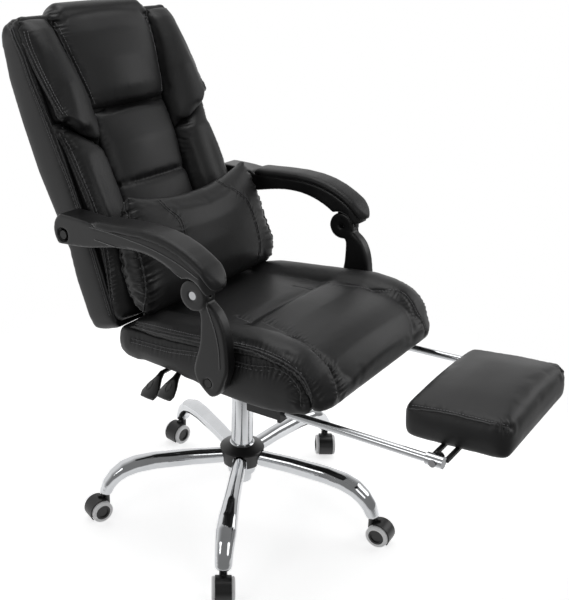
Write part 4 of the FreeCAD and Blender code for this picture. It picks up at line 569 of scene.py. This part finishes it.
def stitch_row(name, item, line, body):
    """A row of stitches copied along a line on a piece."""
    steps = np.linalg.norm(np.diff(line, axis=0), axis=1)
    marks = np.concatenate(([0], np.cumsum(steps)))
    count = int(marks[-1] / STITCH_STEP)
    at = np.linspace(0, marks[-1], count + 1)
    even = np.stack([np.interp(at, marks, line[:, axis]) for axis in range(3)], axis=1)
    places, normals = on_surface(item, even, THREAD_THICK * THREAD_LIFT)
    copies = []
    for index in range(count):
        forward = places[index + 1] - places[index]
        if forward.length < STITCH_STEP * STITCH_SHORTEST:
            continue
        forward.normalize()
        across = normals[index].cross(forward).normalized()
        turn = Matrix((forward, across, forward.cross(across))).transposed().to_4x4()
        copy = bpy.data.objects.new(name, STITCH.data.copy())
        scene.collection.objects.link(copy)
        copy.matrix_world = Matrix.Translation((places[index] + places[index + 1]) / 2) @ turn
        copies.append(copy)
    bpy.ops.object.select_all(action="DESELECT")
    for copy in copies:
        copy.select_set(True)
    bpy.context.view_layer.objects.active = copies[0]
    bpy.ops.object.join()
    row = keep_place(bpy.context.object)
    # the stitches take the pale thread colour, a painted highlight
    dress(row, thread_painted_highlight)
    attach(row, body)


def finish_pad(item, body, replaced):
    """Smooth, dress and place a padded piece."""
    pick_only(item)
    bpy.ops.object.shade_smooth()
    dress(item, black_leather)
    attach(item, body)
    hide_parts(replaced)


# Places in the back's own frame, which leans back about the recline hinge
LEAN = math.radians(22)
HINGE_REAR, HINGE_HIGH = 0.150, 0.455


def back_at(across, behind, above):
    """A place of the back from millimetres across, behind and above its hinge."""
    rear = HINGE_REAR + (math.sin(LEAN) * above + math.cos(LEAN) * behind) * MM
    high = HINGE_HIGH + (math.cos(LEAN) * above - math.sin(LEAN) * behind) * MM
    return np.array((across * MM, rear, high))


def in_back(places):
    """Across, behind and above the hinge in millimetres for an array of places."""
    rear, high = places[:, 1] - HINGE_REAR, places[:, 2] - HINGE_HIGH
    behind = math.cos(LEAN) * rear - math.sin(LEAN) * high
    above = math.sin(LEAN) * rear + math.cos(LEAN) * high
    return np.stack((places[:, 0], behind, above), axis=1) / MM


def from_back(local):
    """Places from an array of millimetres across, behind and above the hinge."""
    rear = HINGE_REAR + (math.sin(LEAN) * local[:, 2] + math.cos(LEAN) * local[:, 1]) * MM
    high = HINGE_HIGH + (math.cos(LEAN) * local[:, 2] - math.sin(LEAN) * local[:, 1]) * MM
    return np.stack((local[:, 0] * MM, rear, high), axis=1)


def back_line(points, side=1, count=60):
    """A smooth line on the back through millimetre places, mirrored for the other side."""
    return smooth_line([back_at(side * across, behind, above) for across, behind, above in points], count)


def seat_line(points, side=1, count=60):
    """A smooth line on the seat through millimetre places, mirrored for the other side."""
    return smooth_line([(side * x * MM, y * MM, z * MM) for x, y, z in points], count)


BACK_FRONT = np.array((0, -math.cos(LEAN), math.sin(LEAN)))
BACK_UP = np.array((0, math.sin(LEAN), math.cos(LEAN)))
ACROSS = np.array((1.0, 0, 0))
SIDES = (("right", -1), ("left", 1))


def front_of_back(places):
    """How much a point belongs to the front of the back's pads."""
    return rise(-in_back(places)[:, 1], 4, 14)


# Seams of the back, in millimetres across, behind and above the hinge
REAR_WELT = [
    (228, 22, 680), (229, 18, 668), (233, 9, 618), (234, 7, 568), (232, 3, 507), (230, 1, 465),
    (231, -3, 413), (232, -7, 360), (232, -8, 315), (232, -8, 220), (232, -6, 142), (230, -1, 66),
]
WING_EDGE = [
    (222, -2, 662), (230, -10, 626), (232, -18, 586), (232, -28, 542), (231, -38, 504), (224, -42, 478),
]
WING_LOW = [(224, -34, 486), (206, -20, 470), (170, -14, 448), (148, -14, 428)]
BOLSTER_EDGE = [
    (218, -12, 462), (222, -18, 440), (221, -28, 372), (221, -37, 300), (223, -38, 220), (228, -27, 150),
    (228, -13, 90),
]
BOLSTER_INNER = [
    (150, -20, 420), (140, -22, 395), (122, -10, 350), (116, -9, 316), (114, -9, 270), (114, -9, 180),
]
HEAD_SEAM = [
    (114, -14, 495), (120, -16, 530), (132, -16, 590), (141, -14, 645), (143, -6, 676), (138, 10, 697),
]
CENTRE_EDGE = [(113, -9, 470), (115, -10, 400), (112, -9, 340), (112, -9, 300), (112, -9, 200)]
CROSS_SEAM = [(-116, -9, 318), (-62, -16, 318), (0, -19, 319), (62, -16, 318), (116, -9, 318)]
REAR_CORNER = [(214, 10, 694), (230, 22, 690), (238, 36, 684)]


def shifted(line, step):
    """A line moved by millimetres."""
    return line + np.asarray(step, float) * MM


# In the pieces below each rise and fall says where a change starts and ends: in millimetres of the
# back's own frame, or in metres of the chair's for the seat and the footrest
def outward(local):
    """The sign of each place's side."""
    return np.sign(local[:, 0])


def draw_in_sides(item, edge, gap, inward):
    """Draw a pad's outer sides in behind its front edge, so that a valley opens beside the rear panel."""
    local = in_back(mesh_points(item))
    line = np.array(sorted(edge, key=lambda point: point[2]), float)
    front = np.interp(local[:, 2], line[:, 2], line[:, 1])
    share = rise(local[:, 1], front + gap * 0.4, front + gap) * rise(np.abs(local[:, 0]), 204, 222)
    local[:, 0] -= outward(local) * inward * share * rise(local[:, 2], 0, 20)
    move_points(item, from_back(local))


def make_rear_panel():
    """The rear shell, fuller behind, drawn forward at its rim and fair across its rear face."""
    panel = even_copy("back_rear_panel", "back_rear_shell", rounding=4)
    local = in_back(mesh_points(panel))
    outer = rise(np.abs(local[:, 0]), 150, 215)
    rim = rise(np.abs(local[:, 0]), 213, 226) * fall(local[:, 1], 3, 18)
    forward = np.interp(local[:, 2], (60, 150, 400, 470, 520, 620, 690), (4, 11, 9, 5, 3, 0, 0))
    local[:, 1] += (11 + 6 * outer) * rise(local[:, 1], 14, 46) - forward * rim
    move_points(panel, from_back(local))
    normals = mesh_normals(panel)
    local = in_back(mesh_points(panel))
    flat = rise(-normals @ BACK_FRONT, 0.85, 0.95) * fall(np.abs(local[:, 0]), 165, 205)
    flat = flat * rise(local[:, 2], 60, 100) * fall(local[:, 2], 620, 670)
    across, above = local[:, 0] / 200, local[:, 2] / 700
    terms = np.stack([above**k for k in range(5)] + [across**2, across**4, across**2 * above], axis=1)
    rear = flat > 0.5
    factors = np.linalg.lstsq(terms[rear], local[rear, 1], rcond=None)[0]
    local[:, 1] += flat * (terms @ factors - local[:, 1])
    move_points(panel, from_back(local))
    corner = 2 * np.clip(normals @ BACK_UP, 0, 1) * np.clip(-normals @ BACK_FRONT, 0, 1)
    corner = corner * rise(local[:, 2], 640, 680)
    move_points(panel, mesh_points(panel) + normals * (0.010 * corner)[:, None])
    refine(panel)
    for label, side in SIDES:
        line = back_line(REAR_WELT, side)
        sew(panel, shifted(line, BACK_FRONT * -3), valley=(0.0016, 0.0035), folds=(0.0005, 0.011, 0.008))
        sew(panel, back_line(REAR_CORNER, side), valley=(0.003, 0.005), folds=(0.0016, 0.012, 0.016))
    finish_pad(panel, "backrest", "back_rear_panel")
    for label, side in SIDES:
        line = back_line(REAR_WELT, side, 120)
        cord_edge("rear_welt_outer_" + label, panel, line, "backrest", 0.0016)
        cord_edge("rear_welt_inner_" + label, panel, shifted(line, BACK_FRONT * 6), "backrest", 0.0016)
        stitch_row("rear_stitches_" + label, panel, shifted(line, BACK_FRONT * -5), "backrest")


def make_head_pillow():
    """The head pad with its crown bent back over the rear shell and its top corners rounded."""
    pillow = even_copy("head_pillow", "head_pillow_pad", rounding=14, grow=0.0048)
    local = in_back(mesh_points(pillow))
    local[:, 1] += 14 * rise(local[:, 2], 690, 712) * rise(local[:, 1], 6, 20)
    local[:, 2] -= 11 * rise(np.abs(local[:, 0]), 112, 150) * rise(local[:, 2], 655, 705)
    local[:, 0] -= outward(local) * 7 * rise(local[:, 2], 600, 690) * rise(np.abs(local[:, 0]), 110, 145)
    move_points(pillow, from_back(local))
    swell(pillow, pressure=4, most=0.004, where=front_of_back)
    refine(pillow)
    fullness = ((0, 0.25, 0.6, 0.8, 1), (0.25, 0.2, 0.4, 1.0, 1.0))
    for label, side in SIDES:
        edge = back_line(HEAD_SEAM, side)
        inward = -side * ACROSS
        sew(pillow, edge, valley=(0.0015, 0.004), folds=(0.0022, 0.011, 0.016), side=inward, swing=fullness)
    finish_pad(pillow, "backrest", "head_pillow")
    for label, side in SIDES:
        line = back_line(HEAD_SEAM, side, 120)
        stitch_row("head_stitches_" + label, pillow, shifted(line, -side * ACROSS * 9), "backrest")
        cord_edge(
            "head_welt_" + label, pillow, shifted(line, side * ACROSS * 2),
            "backrest", 0.0014, scallop=0.15,
        )


def make_wings():
    """The side wings beside the head pad, their low tips hanging over the bolsters."""
    wings = even_copy("back_wings", "back_wing_pads", rounding=6, grow=0.0035)
    local = in_back(mesh_points(wings))
    edge = np.interp(np.abs(local[:, 0]), (148, 170, 206, 225), (425, 446, 468, 478))
    droop = rise(-local[:, 1], 14, 38) * fall(local[:, 2], edge + 30, edge + 75)
    local[:, 2] -= (26 - 22 * rise(np.abs(local[:, 0]), 188, 224)) * droop
    local[:, 1] += 8 * rise(np.abs(local[:, 0]), 192, 226) * rise(-local[:, 1], 28, 46)
    local[:, 0] -= outward(local) * 7 * rise(local[:, 2], 600, 690) * fall(np.abs(local[:, 0]), 160, 195)
    move_points(wings, from_back(local))
    draw_in_sides(wings, WING_EDGE, 22, 12)
    swell(wings, pressure=4, most=0.004, where=front_of_back)
    refine(wings)
    fullness = ((0, 0.5, 0.8, 1), (0.5, 0.3, 0.8, 1.2))
    for label, side in SIDES:
        sew(
            wings, back_line(WING_EDGE, side),
            valley=(0.0020, 0.0035), folds=(0.0012, 0.009, 0.018), swing=fullness,
        )
        sew(wings, back_line(WING_LOW, side), valley=(0.001, 0.004), folds=(0.0012, 0.012, 0.016))
    finish_pad(wings, "backrest", "back_wings")
    for label, side in SIDES:
        line = back_line(WING_EDGE, side, 90)
        inner = shifted(line, BACK_FRONT * 10 - side * ACROSS * 3)
        cord_edge("wing_welt_" + label, wings, shifted(line, BACK_FRONT * -3), "backrest", 0.0016)
        stitch_row("wing_stitches_outer_" + label, wings, shifted(line, BACK_FRONT * 4), "backrest")
        stitch_row("wing_stitches_inner_" + label, wings, inner, "backrest")


def make_bolsters():
    """The side bolsters, fuller at their fronts and drawn back where they meet the seat."""
    bolsters = even_copy("back_bolsters", "back_side_pads", rounding=6, grow=0.0035)
    local = in_back(mesh_points(bolsters))
    fuller = rise(np.abs(local[:, 0]), 175, 205) * rise(-local[:, 1], 4, 16) * fall(local[:, 2], 330, 440)
    local[:, 1] -= 7 * fuller * rise(local[:, 2], 150, 220)
    low = fall(local[:, 2], 70, 150)
    local[:, 1] += 7 * low * rise(-local[:, 1], -10, 15)
    local[:, 2] += 6 * low
    move_points(bolsters, from_back(local))
    draw_in_sides(bolsters, BOLSTER_EDGE, 16, 12)
    swell(bolsters, pressure=4, most=0.005, where=front_of_back)
    refine(bolsters)
    fullness = ((0, 0.15, 0.5, 0.75, 1), (1.2, 0.7, 0.5, 1.2, 1.5))
    creases = ((0, 0.2, 0.4, 1), (2.5, 1.5, 0.6, 0.6))
    for label, side in SIDES:
        sew(
            bolsters, back_line(BOLSTER_EDGE, side),
            valley=(0.0022, 0.004), folds=(0.0012, 0.010, 0.014), swing=fullness,
        )
        sew(
            bolsters, back_line(BOLSTER_INNER, side),
            valley=(0.0012, 0.004), folds=(0.0006, 0.013, 0.014), swing=creases,
        )
    finish_pad(bolsters, "backrest", "back_bolsters")
    for label, side in SIDES:
        line = back_line(BOLSTER_EDGE, side, 120)
        cord_edge(
            "bolster_welt_" + label, bolsters, shifted(line, BACK_FRONT * -3),
            "backrest", 0.0015, scallop=0.1,
        )
        stitch_row("bolster_stitches_" + label, bolsters, shifted(line, BACK_FRONT * 5), "backrest")


def make_centre_cushion():
    """The middle of the back, drawn in by a seam across it."""
    cushion = even_copy("back_centre_cushion", "back_middle_pad", rounding=7, grow=0.0035)
    swell(cushion, pressure=4, most=0.004, where=front_of_back)
    refine(cushion)
    seam = back_line(CROSS_SEAM)
    sew(cushion, seam, valley=(0.0055, 0.0035), folds=(0.0006, 0.014, 0.012))
    sew(cushion, seam, valley=(0.003, 0.011))
    for label, side in SIDES:
        sew(cushion, back_line(CENTRE_EDGE, side), valley=NO_VALLEY, folds=(0.0004, 0.013, 0.012))
    finish_pad(cushion, "backrest", "back_centre_cushion")


PILLOW_NEAR_SEAM = [
    (-121, -118, 280), (-116, -132, 258), (-99, -137, 232), (-97, -140, 190), (-100, -138, 130),
    (-112, -120, 70), (-118, -95, 40),
]
PILLOW_FAR_SEAM = [
    (80, -118, 286), (88, -131, 268), (116, -134, 236), (137, -134, 204), (150, -128, 150), (156, -117, 95),
    (150, -90, 50),
]
PILLOW_END = [
    (196, -104, 282), (208, -112, 240), (212, -114, 200), (212, -116, 160), (219, -112, 104),
    (220, -87, 58),
]
PILLOW_REAR = [
    (196, -62, 282), (210, -52, 230), (214, -50, 190), (215, -50, 150), (218, -50, 95), (206, -50, 56),
]


def sagged(local):
    """The pillow's slack top edge, lower between its corners."""
    local = np.array(local, float)
    slack = np.clip(1 - (local[:, 0] / 195) ** 2, 0, 1)
    local[:, 2] -= 30 * slack * rise(local[:, 2], 150, 285)
    return local


def make_lumbar_pillow():
    """The loose pillow with its slack top, two seams and piped, gathered ends."""
    pillow = even_copy("lumbar_pillow", "lumbar_pillow_pad", rounding=8, grow=0.0030)
    local = in_back(mesh_points(pillow))
    low = rise(np.abs(local[:, 0]), 165, 215) * fall(local[:, 2], 80, 160)
    local[:, 0] += outward(local) * 4 * low
    local[:, 1] -= 7 * low * rise(-local[:, 1], 40, 70)
    move_points(pillow, from_back(sagged(local)))
    swell(pillow, pressure=3, most=0.003, where=front_of_back)
    refine(pillow)
    near, far = back_line(sagged(PILLOW_NEAR_SEAM)), back_line(sagged(PILLOW_FAR_SEAM))
    for seam in (near, far):
        sew(pillow, seam, valley=(0.0034, 0.0040), folds=(0.0008, 0.014, 0.012))
    for label, side in SIDES:
        end, rear = back_line(PILLOW_END, side), back_line(PILLOW_REAR, side)
        sew(pillow, end, valley=(0.0016, 0.004), folds=(0.0022, 0.017, 0.024))
        sew(pillow, rear, valley=(0.0012, 0.004), folds=(0.0026, 0.019, 0.030))
    finish_pad(pillow, "lumbar_pillow", "lumbar_pillow")
    for label, line in (("right", near), ("left", far)):
        cord_edge("pillow_seam_outer_" + label, pillow, shifted(line, ACROSS * 4), "lumbar_pillow", 0.0009)
        cord_edge("pillow_seam_inner_" + label, pillow, shifted(line, ACROSS * -4), "lumbar_pillow", 0.0009)
    for label, side in SIDES:
        end, rear = back_line(PILLOW_END, side, 90), back_line(PILLOW_REAR, side, 90)
        cord_edge("pillow_piping_front_" + label, pillow, end, "lumbar_pillow", 0.0020, scallop=0.22)
        cord_edge("pillow_piping_rear_" + label, pillow, rear, "lumbar_pillow", 0.0018, scallop=0.22)


# Seams of the seat and footrest, in millimetres of the chair's frame
SEAT_WELT = [
    (228, 110, 510), (234, 82, 515), (240, 17, 523), (240, -30, 528), (240, -70, 533), (240, -130, 542),
    (240, -190, 549), (240, -234, 548), (236, -275, 538), (232, -299, 523), (230, -313, 503),
    (225, -318, 480),
]
BOXING_SEAM = [
    (238, 110, 481), (240, 87, 483), (241, 5, 490), (239, -61, 501), (239, -130, 509), (239, -194, 515),
    (237, -233, 523), (235, -258, 522), (234, -279, 513), (233, -296, 494), (234, -300, 470),
]
SEAT_SEAM = [
    (104, -60, 528), (112, -107, 530), (130, -162, 546), (147, -215, 546), (174, -274, 550),
    (174, -300, 537), (168, -319, 521), (172, -331, 501), (176, -339, 477),
]
SEAT_SEAM_BACK = [(104, -60, 528), (112, -20, 522), (126, 40, 518), (136, 90, 514)]
SEAT_CROSS = [(-112, -104, 530), (-60, -98, 528), (0, -94, 527), (60, -98, 528), (112, -104, 530)]
FOOT_SEAM = [
    (139, -470, 482), (139, -498, 488), (138, -538, 494), (138, -578, 498), (137, -619, 501),
    (132, -638, 501),
]
FOOT_CORNER = [(139, -622, 498), (134, -634, 502), (126, -643, 500)]


def make_seat_base():
    """The boxing under the seat's top, with side skirts and room for the levers."""
    boxing = even_copy("seat_base_cushion", "seat_boxing", rounding=4, grow=0.0025)
    places = mesh_points(boxing)
    places[:, 1] += 0.019 * rise(places[:, 1], 0.05, 0.125)
    skirt = rise(np.abs(places[:, 0]), 0.218, 0.228) * fall(places[:, 2], 0.450, 0.480)
    places[:, 2] -= 0.0065 * skirt * fall(places[:, 1], -0.09, -0.05)
    levers = rise(-places[:, 0], 0.09, 0.11) * rise(places[:, 1], -0.03, -0.01)
    levers = levers * fall(places[:, 1], 0.08, 0.10)
    places[:, 2] += 0.0045 * levers * fall(places[:, 2], 0.452, 0.470)
    move_points(boxing, places)
    refine(boxing)
    fullness = ((0, 0.3, 0.62, 0.75, 1), (0.5, 0.35, 0.6, 1.5, 1.8))
    for label, side in SIDES:
        sew(
            boxing, seat_line(BOXING_SEAM, side),
            valley=(0.0020, 0.004), folds=(0.0014, 0.010, 0.014), swing=fullness,
        )
    finish_pad(boxing, "seat", "seat_base_cushion")
    for label, side in SIDES:
        line = seat_line(BOXING_SEAM, side, 120)
        cord_edge("boxing_welt_" + label, boxing, shifted(line, (0, 0, 4)), "seat", 0.0014, scallop=0.15)
        stitch_row("boxing_stitches_" + label, boxing, shifted(line, (0, 0, -5)), "seat")


def make_seat_top():
    """The padded seat with its side rolls, the gathers beside their seams and a double welt."""
    top = even_copy("seat_top_cushion", "seat_top_pad", rounding=4, grow=0.0028)
    places = mesh_points(top)
    places[:, 1] += 0.026 * rise(places[:, 1], 0.06, 0.115) * fall(places[:, 2], 0.494, 0.515)
    move_points(top, places)
    swell(top, pressure=4, most=0.004, where=lambda places: rise(mesh_normals(top)[:, 2], -0.2, 0.4))
    refine(top)
    heavy = ((0, 0.15, 0.45, 0.7, 1), (0.1, 0.4, 0.8, 1.2, 1.1))
    welt_full = ((0, 0.4, 0.6, 0.75, 1), (0.3, 0.4, 0.8, 1.4, 1.3))
    for label, side in SIDES:
        inward = -side * ACROSS
        seam = seat_line(SEAT_SEAM, side, 80)
        sew(top, seam, valley=(0.0060, 0.0050))
        gather = 0.0030 if label == "right" else 0.0010
        sew(top, seam, valley=NO_VALLEY, folds=(gather, 0.0085, 0.017), side=inward, swing=heavy)
        sew(top, seam, valley=NO_VALLEY, folds=(gather * 0.3, 0.011, 0.012), side=-inward, swing=heavy)
        sew(top, seat_line(SEAT_SEAM_BACK, side), valley=(0.0040, 0.0040))
        sew(
            top, seat_line(SEAT_WELT, side, 80),
            valley=(0.0016, 0.0035), folds=(0.0011, 0.009, 0.016), swing=welt_full,
        )
    sew(top, seat_line(SEAT_CROSS), valley=(0.0045, 0.0030))
    sew(top, seat_line(SEAT_CROSS), valley=(0.0025, 0.010))
    finish_pad(top, "seat", "seat_top_cushion")
    for label, side in SIDES:
        line = seat_line(SEAT_WELT, side, 140)
        cord_edge("seat_welt_lower_" + label, top, shifted(line, (0, 0, -4)), "seat", 0.0017)
        cord_edge("seat_welt_upper_" + label, top, shifted(line, (0, 0, 3)), "seat", 0.0015, scallop=0.12)
        stitch_row("seat_stitches_" + label, top, shifted(line, (-4 * side, 6, 8)), "seat")
        line = seat_line(SEAT_SEAM, side, 120)
        stitch_row("seat_seam_stitches_" + label, top, shifted(line, (6 * side, 0, 0)), "seat")


def make_footrest_pad():
    """The footrest's pad, full in its middle and drawn in at its front corners."""
    pad = even_copy("footrest_pad", "footrest_cushion", voxel=0.004, rounding=12, grow=0.0042)
    places = mesh_points(pad)
    inside = fall(np.abs(places[:, 0]), 0.060, 0.150) * rise(places[:, 1], -0.655, -0.59)
    inside = inside * fall(places[:, 1], -0.53, -0.46)
    places[:, 2] += (0.003 + 0.005 * inside) * rise(mesh_normals(pad)[:, 2], 0.1, 0.7)
    move_points(pad, places)
    swell(pad, pressure=3, most=0.0015)
    relax(pad, 8)
    refine(pad)
    for label, side in SIDES:
        sew(pad, seat_line(FOOT_SEAM, side), valley=(0.0018, 0.0035), folds=(0.0004, 0.016, 0.012))
        sew(pad, seat_line(FOOT_CORNER, side), valley=(0.0026, 0.0045), folds=(0.0026, 0.0085, 0.011))
    finish_pad(pad, "footrest", "footrest_pad")
    for label, side in SIDES:
        line = seat_line(FOOT_SEAM, side, 70)
        cord_edge("footrest_welt_" + label, pad, shifted(line, (0, 0, -3)), "footrest", 0.0013)
        stitch_row("footrest_stitches_" + label, pad, shifted(line, (0, 0, 4)), "footrest")


# Moulded and plated pieces: voxel, rounding, growth, finish and slot
SOFT_MOULD = (0.0022, 10, 0.0008, satin_plastic, "black_plastic")
SOFT_GRIP = (0.0011, 40, 0.0013, gloss_plastic, "black_plastic")
POLISHED_TUBE = (0.0020, 24, 0.0011, chrome, "chrome")


def rounded_copy(node, name, voxel, rounding, grow, material, slot):
    """A rigid piece with soft, polished edges that stands for its solid."""
    item = even_copy(node, name, voxel, rounding, grow)
    pick_only(item)
    bpy.ops.object.shade_smooth()
    dress(item, material)
    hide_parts(node)
    return item


ARM_RIDGES = (
    (
        "upper",
        [(292, 161, 727), (292, 107, 726), (292, 55, 723), (292, 4, 718), (292, -56, 705), (292, -112, 684)],
    ),
    ("lower", [(292, 150, 704), (292, 108, 702), (292, 55, 699), (292, 4, 694), (292, -72, 678)]),
)
UPRIGHT_RIDGE = [(275, -112, 636), (275, -126, 607), (275, -138, 577), (275, -145, 544), (275, -147, 508)]
TIP_LENGTH = 0.034
TIP_BACK = 0.006
TIP_BLUNT = 0.10
HOLE_WALL = (0.014, 0.020)  # distances from the bolt's middle over which the easing fades out
HOLE_ROOM = 0.0028


def round_tip(item):
    """Round an armrest's front end in plan, as on a moulded arm."""
    places = mesh_points(item)
    middle = (places[:, 0].min() + places[:, 0].max()) / 2
    along = np.clip((places[:, 1] - places[:, 1].min()) / TIP_LENGTH, 0, 1)
    round_off = np.sqrt(np.clip(1 - (1 - along) ** 2, TIP_BLUNT, 1))
    places[:, 0] = middle + (places[:, 0] - middle) * round_off
    places[:, 1] += TIP_BACK * (1 - along)
    move_points(item, places)


def ease_hole(item, bolt):
    """Keep the armrest's rear hole oversize round its bolt."""
    places, normals = mesh_points(item), mesh_normals(item)
    out = places[:, 1:] - (bolt[:, 1:].min(axis=0) + bolt[:, 1:].max(axis=0)) / 2
    away = np.linalg.norm(out, axis=1)
    out /= np.maximum(away, NO_LENGTH)[:, None]
    wall = fall(away, *HOLE_WALL) * rise(-(normals[:, 1:] * out).sum(axis=1), 0.2, 0.6)
    places[:, 1:] += out * (HOLE_ROOM * wall)[:, None]
    move_points(item, places)


def make_arm_pads():
    """The soft pads on the armrests."""
    for side in ("left", "right"):
        pad = even_copy("armrest_pad_" + side, "arm_pad_" + side, voxel=0.003, rounding=26, grow=0.0040)
        round_tip(pad)
        refine(pad)
        finish_pad(pad, "armrest_" + side, "armrest_pad_" + side)


def make_arm_frames():
    """Arm frames and uprights with soft moulded edges, and the thin raised lines along them in a lighter
    grey that is painted highlight.
    """
    for label, side in SIDES:
        rest, post = "armrest_" + label, "arm_upright_" + label
        arm = rounded_copy("armrest_frame_" + label, "moulded_arm_" + label, *SOFT_MOULD)
        round_tip(arm)
        ease_hole(arm, mesh_points(nodes["arm_rear_bolts"]))
        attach(arm, rest)
        upright = rounded_copy(post, "moulded_upright_" + label, *SOFT_MOULD)
        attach(upright, post)
        for name, points in ARM_RIDGES:
            line = seat_line(points, side, 50)
            bead = "arm_ridge_%s_%s" % (name, label)
            # the ridge beads take the lighter ridge plastic, a painted highlight
            cord_edge(bead, arm, line, rest, 0.0011, material=ridge_plastic_painted_highlight)
        line = seat_line(UPRIGHT_RIDGE, side, 40)
        cord_edge(
            "upright_ridge_" + label, upright, line,
            post, 0.0012, material=ridge_plastic_painted_highlight,
        )


def make_star():
    """The star with its tubes' bends polished smooth."""
    star = rounded_copy("star_base", "polished_star", *POLISHED_TUBE)
    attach(star, "base")


GRIP_ALONG = np.array((-0.786, 0, -0.618))
LEVER_GRIPS = (("height_lever", (-241, 12, 403)), ("recline_lever", (-247, 57, 395)))
GRIP_RIM = (0.011, 0.0052, 0.002)  # half length, half width and height of the raised oval


def make_levers():
    """Spoon-shaped moulded grips with a raised oval on each."""
    for node, centre in LEVER_GRIPS:
        lever = rounded_copy(node, "moulded_" + node, *SOFT_GRIP)
        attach(lever, node)
        turns = np.linspace(0, math.tau, 41)
        middle = np.array(centre) * MM
        half_long, half_wide, high = GRIP_RIM
        loop = [
            middle + half_long * math.cos(t) * GRIP_ALONG + np.array((0, half_wide * math.sin(t), high))
            for t in turns
        ]
        cord_edge(
            "grip_rim_" + node, lever, loop,
            node, 0.0009, material=gloss_plastic,
        )


make_rear_panel()
make_head_pillow()
make_wings()
make_bolsters()
make_centre_cushion()
make_lumbar_pillow()
make_seat_base()
make_seat_top()
make_footrest_pad()
make_arm_pads()
make_arm_frames()
make_star()
make_levers()
bpy.data.objects.remove(STITCH)


# Studio
WHITE = (1, 1, 1, 1)
FLOOR_SIZE = 14
FLOOR_CENTRE = (0.28, 0.22, 0)
FLOOR_FADE = (0.62, 1.0)  # from the floor to the surround, in metres from its centre
FLOOR_GLOW = 0.62
ROOM_SIDE = (-0.42, -0.91, 0.25)  # the dim side of the surround
ROOM_FADE = (-0.60, 0.25)
ROOM_BRIGHT, ROOM_DIM = 0.85, 0.26
BACKDROP_FROM = 0.8
STUDIO_LAMPS = [
    # name, place, aim, width, power
    ("lamp_over", (0.3, 0.2, 3.2), (0, 0, 0.5), 1.8, 24),
    ("lamp_front", (-1.2, -3.2, 2.0), (0, 0, 0.6), 1.6, 13),
    ("lamp_side", (-3.0, 0.6, 1.8), (0, 0, 0.6), 1.2, 9),
    ("lamp_far", (2.4, -2.0, 1.9), (0, 0.2, 0.8), 2.2, 22),
]


def background_rays(tree, glossy_share=None):
    """1 for the rays that show the white background: the camera's, and those of glass and metal."""
    ray = shader(tree, "ShaderNodeLightPath")
    glossy = ray.outputs["Is Glossy Ray"]
    if glossy_share is not None:
        glossy = math_node(tree, "MULTIPLY", glossy, glossy_share)
    seen = math_node(tree, "MAXIMUM", ray.outputs["Is Camera Ray"], ray.outputs["Is Transmission Ray"])
    return math_node(tree, "MAXIMUM", seen, glossy)


def make_floor_finish():
    """A white floor that fades into the surround, keeps the chair's shadow and throws no light."""
    material, tree, bsdf = new_material("studio_floor")
    place = shader(tree, "ShaderNodeTexCoord")
    far = shader(tree, "ShaderNodeVectorMath", {1: FLOOR_CENTRE}, operation="DISTANCE")
    link(tree, place.outputs["Object"], far.inputs[0])
    fade = range_between(tree, far.outputs["Value"], 1, 0, *FLOOR_FADE, interpolation_type="SMOOTHSTEP")
    link(tree, fade, bsdf.inputs["Alpha"])
    fill(bsdf, {"Base Color": (0.80, 0.80, 0.80, 1), "Roughness": 0.9, "Specular IOR Level": 0})
    fill(bsdf, {"Emission Color": WHITE})
    glow = math_node(tree, "MULTIPLY", background_rays(tree), FLOOR_GLOW)
    link(tree, glow, bsdf.inputs["Emission Strength"])
    return material


def add_studio():
    """A pale floor, a white surround and soft lamps."""
    bpy.ops.object.select_all(action="DESELECT")
    bpy.ops.mesh.primitive_plane_add(size=FLOOR_SIZE, location=(0, 0, 0))
    floor = bpy.context.object
    floor.name = "studio_floor"
    dress(floor, make_floor_finish())
    world = bpy.data.worlds.new("studio")
    scene.world = world
    world.use_nodes = True
    tree = world.node_tree
    surround = tree.nodes["Background"]
    place = shader(tree, "ShaderNodeTexCoord")
    facing = shader(tree, "ShaderNodeVectorMath", {1: ROOM_SIDE}, operation="DOT_PRODUCT")
    link(tree, place.outputs["Generated"], facing.inputs[0])
    span = (ROOM_BRIGHT, ROOM_DIM, *ROOM_FADE)
    room = range_between(tree, facing.outputs["Value"], *span, interpolation_type="SMOOTHSTEP")
    link(tree, room, surround.inputs["Color"])
    fill(surround, {"Strength": 1})
    white = shader(tree, "ShaderNodeBackground", {"Color": WHITE, "Strength": 1})
    mix = shader(tree, "ShaderNodeMixShader")
    backdrop = math_node(tree, "GREATER_THAN", room, BACKDROP_FROM)
    link(tree, background_rays(tree, backdrop), mix.inputs["Fac"])
    link(tree, surround.outputs[0], mix.inputs[1])
    link(tree, white.outputs[0], mix.inputs[2])
    link(tree, mix.outputs[0], tree.nodes["World Output"].inputs["Surface"])
    for name, place, aim, width, power in STUDIO_LAMPS:
        bpy.ops.object.light_add(type="AREA", location=place)
        lamp = bpy.context.object
        lamp.name = name
        lamp.data.shape = "DISK"
        lamp.data.size = width
        lamp.data.energy = power
        lamp.rotation_euler = (Vector(aim) - Vector(place)).to_track_quat("-Z", "Y").to_euler()


add_studio()
